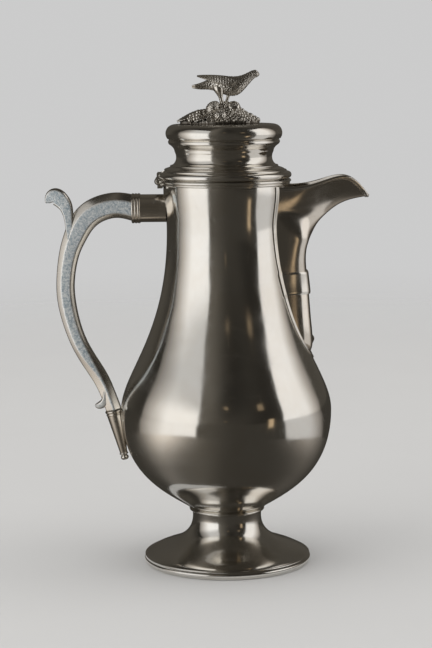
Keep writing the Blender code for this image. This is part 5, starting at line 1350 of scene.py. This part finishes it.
def standing(look, i, x, y, lift=0.0):
    # rows of place and radius for round things that stand on the ground
    level, swing, step = look["vary"]
    radius = look["radius"] * (level + swing * np.sin(i * step))
    z = moundBase + moundHeight(x, y) + radius * look["riseShare"] + lift
    return np.column_stack([x, y, z, radius])


def berryField():
    # berries in a spiral, each turned from the one before by the golden angle
    b = berryLook
    i = np.arange(b["count"])
    turn, out = i * goldenAngle, np.sqrt((i + 0.5) / b["count"])
    x = b["x"] + b["spreadX"] * out * np.cos(turn)
    narrow = np.sqrt(np.clip(b["round"] - (x / moundShape["right"]) ** 2, 0.05, 1))
    return standing(b, i, x, b["y"] + b["spreadY"] * out * np.sin(turn) * narrow)


def pebbleField():
    # small grains over the whole ground, in a finer spiral of the same kind
    m, p = moundShape, pebbleLook
    i = np.arange(p["count"])
    turn, out = i * goldenAngle, np.sqrt((i + p["clear"]) / (p["count"] + p["clear"])) * p["spread"]
    x = m["standX"] + out * np.where(np.cos(turn) > 0, m["right"], m["left"]) * np.cos(turn) * p["spread"]
    return standing(p, i, x, out * m["halfWidth"] * np.sin(turn))


def budField():
    # buds in rows on the left slope, each row higher up, and the same behind
    b = budLook
    i = np.arange(b["rows"] * b["each"])
    step = i // b["each"]
    x = b["x"] + b["stepX"] * (i % b["each"] - 1) + b["wanderX"] * np.sin(i * 2.3)
    return np.vstack([standing(b, i, x, side * (b["y"] - b["stepY"] * step), b["lift"] * step)
                      for side in (-1, 1)])


def moundGround():
    # the grained ground with its lobed edge, closed by a straight skirt down to the lid
    m = moundShape
    out = np.linspace(0.015, 1, m["rings"])[:, None]
    a = ringAngles(m["spokes"])
    lobe = 1 - m["lobeShare"] / 2 * (1 - np.cos(m["lobes"] * a)) * out ** 2
    x = m["standX"] + out * moundReach(np.cos(a) > 0) * np.cos(a) * lobe
    y = out * m["halfWidth"] * np.sin(a) * lobe
    grain = np.sin(x * 4300 + 1.3 * np.sin(y * 2700)) * np.sin(y * 4600 + 1.1 * np.sin(x * 2500))
    z = moundBase + moundHeight(x, y) + grain * m["grain"] * smoothStep(0.03, 0.2, out) * (1 - out ** 8)
    ground = np.stack([x + 0 * out, y + 0 * out, z], -1)
    ground = np.concatenate([ground, ground[-1:] * [1, 1, 0] + [0, 0, moundBase - m["sink"]]])
    # painted shade in the grain's low parts, and deeper painted shade on the skirt round the mound's foot
    skirt = np.full((1, m["spokes"]), m["skirtShade"])
    return ground, np.concatenate([hollowShade(grain, "ground"), skirt])


def makeMound():
    skins = {"granules": granules, "rings": rings}
    forms = [moundGround()] + [leaf(*shares) for shares in moundShape["leafShares"]]
    for share, lift, axis, length, radius, skin, counts, taper in moundShape["fruits"]:
        forms.append(fruit(onMound(share) + [0, 0, lift], axis, length, radius, skins[skin](*counts),
                           taper=taper))
    for fields, rows, columns in (((berryField(), budField()), 9, 12), ((pebbleField(),), 6, 8)):
        for x, y, z, radius in np.vstack(fields):
            forms.append(fruit(np.array([x, y, z]), (0.2, -0.3, 1), radius * 2, radius,
                               lambda u, a: 0.5, rows, columns))
    mesh = merged(*[solidGrid(grid) for grid, _ in forms])
    hollow = np.concatenate([np.broadcast_to(deep, grid.shape[:2]).reshape(-1) for grid, deep in forms])
    addPiece("finialMound", mesh, "cast_silver", "lid", "finial_mound", 70, hollow)


makeBird()
makeWing("birdWingLeft", 1, "bird_wing_left")
makeWing("birdWingRight", -1, "bird_wing_right")
makeMound()
print("finial made")


# the solids that stay, with their finishes

keptNodes = {
    "polished_silver": ["hinge_body_leaf", "hinge_lid_leaf", "hinge_pin", "upper_handle_pin",
                        "lower_handle_pin"],
    "inside_silver": ["lid_bezel", "finial_stud", "finial_washer", "finial_nut"],
}
for finish, names in keptNodes.items():
    for name in names:
        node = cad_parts[name]
        for slot in node.material_slots:
            slot.material = finishes[finish]
print("kept solids:", sum(len(names) for names in keptNodes.values()))


# floor, light and camera

stageLook = {
    "floorColour": (0.64, 0.635, 0.625), "floorShade": 0.97, "floorGrain": 9.0, "floorRoughness": 0.8,
    "floorSpecular": 0.1, "floorSize": 16.0, "fadeStart": 0.6, "fadeEnd": 1.75,
    "worldColour": (0.60, 0.60, 0.60), "overheadSize": 2.4, "overheadHeight": 3.0, "overheadRadiance": 1.1,
}


def floorMaterial():
    # a pale matt floor; far off it thins out into the backdrop, so that no edge shows
    look = stageLook
    material = bpy.data.materials.new("floor")
    material.use_nodes = True
    tree = material.node_tree
    shader = tree.nodes["Principled BSDF"]
    desk = NodeDesk(tree)
    where = desk.add("ShaderNodeTexCoord").outputs["Object"]
    grain = desk.noise(where, look["floorGrain"], 3.0).outputs["Fac"]
    darker = [part * look["floorShade"] for part in look["floorColour"]]
    tree.links.new(desk.blend(grain, look["floorColour"], darker), shader.inputs["Base Color"])
    shader.inputs["Roughness"].default_value = look["floorRoughness"]
    shader.inputs["Specular IOR Level"].default_value = look["floorSpecular"]
    far = desk.add("ShaderNodeVectorMath", {0: where}, operation='LENGTH').outputs["Value"]
    thin = desk.add("ShaderNodeMapRange", {"Value": far, "From Min": look["fadeStart"],
                                           "From Max": look["fadeEnd"]}, interpolation_type='SMOOTHSTEP')
    clear = desk.add("ShaderNodeBsdfTransparent")
    both = desk.add("ShaderNodeMixShader", {0: thin.outputs["Result"], 1: shader.outputs[0],
                                            2: clear.outputs[0]})
    tree.links.new(both.outputs[0], tree.nodes["Material Output"].inputs["Surface"])
    return material


def makeStage():
    half = stageLook["floorSize"]
    data = bpy.data.meshes.new("floor")
    corners = [(-half, -half, 0), (half, -half, 0), (half, half, 0), (-half, half, 0)]
    data.from_pydata(corners, [], [(0, 1, 2, 3)])
    data.materials.append(floorMaterial())
    floor = bpy.data.objects.new("floor", data)
    bpy.context.scene.collection.objects.link(floor)
    world = bpy.data.worlds.new("studio")
    world.use_nodes = True
    world.node_tree.nodes["Background"].inputs["Color"].default_value = (*stageLook["worldColour"], 1)
    bpy.context.scene.world = world


# azimuth runs from the camera's side (-Y) towards +X, in degrees; lengths are in metres
softboxes = {
    "leftSoftbox": {"azimuth": -65, "half": 35, "distance": 1.9, "top": 2.7, "radiance": 1.12,
                    "colour": (1.0, 0.985, 0.965), "feet": 1.05, "low": 1.1, "high": 0.62,
                    "edgeSide": -1, "edgeFade": 34, "edgeTint": (1.0, 0.92, 0.83), "tableGlow": 0.85},
    "rightSoftbox": {"azimuth": 94, "half": 29, "distance": 2.0, "top": 2.7, "radiance": 1.0,
                     "colour": (1.0, 0.975, 0.95), "feet": 0.62, "low": 0.98, "high": 1.02,
                     "edgeSide": 1, "edgeFade": 26, "edgeTint": (1.0, 0.90, 0.80), "tableGlow": 0.26},
}
# both softboxes: dimming at the outer edge, heights between which the level goes from low to
# high, softness of their sides on the table and width of their glow there, lift of the lamp
softboxFall = {"edgeDim": 0.80, "riseFrom": 0.5, "riseTo": 1.4, "soft": 1.2, "glowWidth": 24,
               "lampLift": 0.01}
# silver is photographed among dark cloths, which here only its reflections see
clothLook = {
    "shade": (0.030, 0.0272, 0.0228), "radius": 3.4, "spill": 0.085, "spillAzimuth": -24, "spillWidth": 20,
    "sideShade": 0.045, "sideFrom": 95, "sideTo": 150, "broadFold": 0.22, "fineFold": 0.18,
}
# the table's disc runs from the foot to its own edge and on to the cloths
tableLook = {"start": 0.0522, "rings": (0.10, 0.15, 0.20, 0.24), "edge": 0.285, "edgeHalf": 0.002,
             "beyond": (0.5, 1.0, 2.0), "z": 0.003, "shade": 1.5, "spillShare": 0.5, "glowFrom": 0.06,
             "glowLeast": 0.12}
# small warm lights of the room between the cloths: azimuth, half width, lowest and highest
# elevation in degrees, level and distance from a point of the room height on the pot's axis
roomLights = ((48, 3.6, -22, -6, 0.55, 0.52), (2.5, 2.6, 24, 34, 0.24, 3.3),
              (40, 4.0, 20, 28, 0.24, 3.3), (-0.5, 1.6, 1, 4, 0.12, 3.3))
roomColour = (1.0, 0.74, 0.46)
roomHeight = 0.2


def glowMaterial():
    material = bpy.data.materials.new("glow")
    material.use_nodes = True
    tree = material.node_tree
    tree.nodes.remove(tree.nodes["Principled BSDF"])
    desk = NodeDesk(tree)
    colour = desk.add("ShaderNodeAttribute", attribute_name="glow").outputs["Color"]
    glow = desk.add("ShaderNodeEmission", {"Color": colour})
    tree.links.new(glow.outputs[0], tree.nodes["Material Output"].inputs["Surface"])
    return material


def glowSurface(name, grid, colours, material):
    # a sheet that only reflections see, whose light is set point by point
    rows, columns = grid.shape[:2]
    data = bpy.data.meshes.new(name)
    data.from_pydata(grid.reshape(-1, 3).tolist(), [], gridFaces(rows, columns).tolist())
    full = np.concatenate([colours, np.ones((rows, columns, 1))], -1)
    glow = data.attributes.new("glow", 'FLOAT_COLOR', 'POINT')
    glow.data.foreach_set("color", full.reshape(-1))
    data.materials.append(material)
    sheet = bpy.data.objects.new(name, data)
    sheet.visible_camera = False
    sheet.visible_diffuse = False
    sheet.visible_shadow = False
    sheet.visible_transmission = False
    bpy.context.scene.collection.objects.link(sheet)


def around(azimuth, radius, height):
    # the point at an azimuth in degrees, a radius and a height
    turn = np.radians(azimuth)
    return np.stack(np.broadcast_arrays(radius * np.sin(turn), -radius * np.cos(turn), height), -1)


def softboxShade(look, off):
    # brightness and colour across a softbox: it fades and warms towards its outer edge
    outer = off * look["edgeSide"]
    start = look["half"] - look["edgeFade"]
    fade = np.clip((outer - start) / look["edgeFade"], 0, 1)[..., None]
    colour = np.array(look["colour"]) * (1 - fade) + np.array(look["edgeTint"]) * fade
    return colour * (1 - softboxFall["edgeDim"] * fade)


def clothSpill(azimuth):
    # light that the left softbox spills on the cloth beside it
    cloth = clothLook
    return cloth["spill"] * np.exp(-((azimuth - cloth["spillAzimuth"]) / cloth["spillWidth"]) ** 2)


def makeCloths(azimuth, material):
    # around and above: a dome, a little lighter beside the left softbox and behind
    cloth = clothLook
    shade, radius = np.array(cloth["shade"]), cloth["radius"]
    rise = np.linspace(0, 90, 46)[:, None]
    patch = 1 + cloth["broadFold"] * np.sin(np.radians(azimuth * 3 + 40)) * np.cos(np.radians(rise * 4)) \
        + cloth["fineFold"] * np.sin(np.radians(azimuth * 7 - rise * 3))
    back = cloth["sideShade"] * smoothStep(cloth["sideFrom"], cloth["sideTo"], abs(azimuth))
    tone = (shade / shade[0]) * (shade[0] * patch + clothSpill(azimuth) + back)[..., None]
    dome = around(azimuth, radius * np.cos(np.radians(rise)), radius * np.sin(np.radians(rise)))
    glowSurface("clothDome", dome, tone, material)


def makeRoomLights(material):
    # each sheet glows in its middle and falls off to the cloths' shade at its edges
    beside = np.linspace(-1, 1, 9)[None, :]
    above = np.linspace(-1, 1, 9)[:, None]
    window = np.clip((1 - abs(beside)) * 3, 0, 1) * np.clip((1 - abs(above)) * 4, 0, 1)
    for number, (middle, half, low, high, level, far) in enumerate(roomLights):
        lift = np.radians((low + high) / 2 + above * (high - low) / 2)
        sheet = around(middle + beside * half, far * np.cos(lift), roomHeight + far * np.sin(lift))
        warm = clothLook["shade"] + level * np.array(roomColour) * window[..., None]
        glowSurface("roomLight%d" % number, sheet, warm, material)


def makeTable(azimuth, material):
    # dark and glossy to its edge, beyond which the softboxes show to their feet
    table, fall = tableLook, softboxFall
    shade, edge, half = np.array(clothLook["shade"]), table["edge"], table["edgeHalf"]
    radii = np.array([table["start"], *table["rings"], edge - half, edge + half, *table["beyond"],
                      clothLook["radius"]])[:, None]
    level = shade[0] * table["shade"] + clothSpill(azimuth) * table["spillShare"]
    lit = np.zeros((len(radii), azimuth.size, 3)) + (shade / shade[0]) * level[..., None]
    beyond = (radii > edge)[..., None]
    near = smoothStep(table["glowFrom"], edge, radii)[..., None] ** 1.4
    share = table["glowLeast"] + (1 - table["glowLeast"]) * near
    for look in softboxes.values():
        off = (azimuth - look["azimuth"] + 180) % 360 - 180
        inside = smoothStep(look["half"] + fall["soft"], look["half"] - fall["soft"], abs(off))[..., None]
        box = softboxShade(look, off) * look["feet"]
        bright = look["tableGlow"] * np.exp(-(off / fall["glowWidth"]) ** 2)[..., None]
        glow = np.array(look["edgeTint"]) * bright
        lit = np.where(beyond, lit * (1 - inside) + box * inside, lit + glow * share)
    glowSurface("clothTable", around(azimuth, radii, table["z"]), lit, material)


def makeSoftboxFace(name, look, material):
    # a flat card square to the pot: its sideways place is distance * tan(angle)
    angle = np.linspace(-look["half"], look["half"], 41)[None, :]
    height = np.linspace(tableLook["z"], look["top"], 31)[:, None]
    turn, far = math.radians(look["azimuth"]), look["distance"]
    side = far * np.tan(np.radians(angle))
    x = math.sin(turn) * far + math.cos(turn) * side
    y = -math.cos(turn) * far + math.sin(turn) * side
    card = np.stack(np.broadcast_arrays(x, y, height), -1)
    rise = smoothStep(softboxFall["riseFrom"], softboxFall["riseTo"], height)
    level = look["low"] + (look["high"] - look["low"]) * rise
    glowSurface(name + "Face", card, level[..., None] * softboxShade(look, angle), material)


def makeLamp(name, width, height, radiance, place, turn, colour=(1, 1, 1)):
    # an area lamp that lights floor and silver and is itself unseen, in sight and in reflection
    data = bpy.data.lights.new(name, 'AREA')
    data.shape = 'RECTANGLE'
    data.size, data.size_y = width, height
    data.energy = radiance * math.pi * width * height
    data.color = colour
    lamp = bpy.data.objects.new(name, data)
    lamp.location = place
    lamp.rotation_euler = turn
    lamp.visible_camera = False
    lamp.visible_glossy = False
    bpy.context.scene.collection.objects.link(lamp)


def makeLights():
    material = glowMaterial()
    azimuth = np.linspace(-180, 180, 361)[None, :]
    makeCloths(azimuth, material)
    makeRoomLights(material)
    makeTable(azimuth, material)
    for name, look in softboxes.items():
        makeSoftboxFace(name, look, material)
        turn, far = math.radians(look["azimuth"]), look["distance"]
        width = 2 * far * math.tan(math.radians(look["half"]))
        place = (math.sin(turn) * far, -math.cos(turn) * far, look["top"] / 2 + softboxFall["lampLift"])
        makeLamp(name, width, look["top"], look["radiance"], place, (math.radians(90), 0, turn),
                 look["colour"])
    size = stageLook["overheadSize"]
    makeLamp("overhead", size, size, stageLook["overheadRadiance"], (0, 0, stageLook["overheadHeight"]),
             (0, 0, 0))


cameraPlace = {"distance": 1.1609, "height": 0.3058, "aimX": -0.00575, "aimZ": 0.1467,
               "lens": 106.99, "sensor": 36.0, "roll": 0.0088}


def makeCamera():
    c = cameraPlace
    place = np.array([potX, -c["distance"], c["height"]])
    forward = unit(np.array([potX + c["aimX"], 0, c["aimZ"]]) - place)
    right = unit(np.cross(forward, [0, 0, 1]))
    up = np.cross(right, forward)
    cosine, sine = math.cos(c["roll"]), math.sin(c["roll"])
    placed = np.eye(4)
    placed[:3] = np.column_stack([cosine * right - sine * up, sine * right + cosine * up, -forward, place])
    data = bpy.data.cameras.new("camera")
    data.lens = c["lens"]
    data.sensor_width = c["sensor"]
    data.clip_start = 0.05
    camera = bpy.data.objects.new("camera", data)
    camera.matrix_world = Matrix(placed.tolist())
    bpy.context.scene.collection.objects.link(camera)
    bpy.context.scene.camera = camera


makeStage()
makeLights()
makeCamera()
print("floor, lights and camera made")
bpy.context.scene.view_settings.view_transform = 'Standard'

print("scene ready")
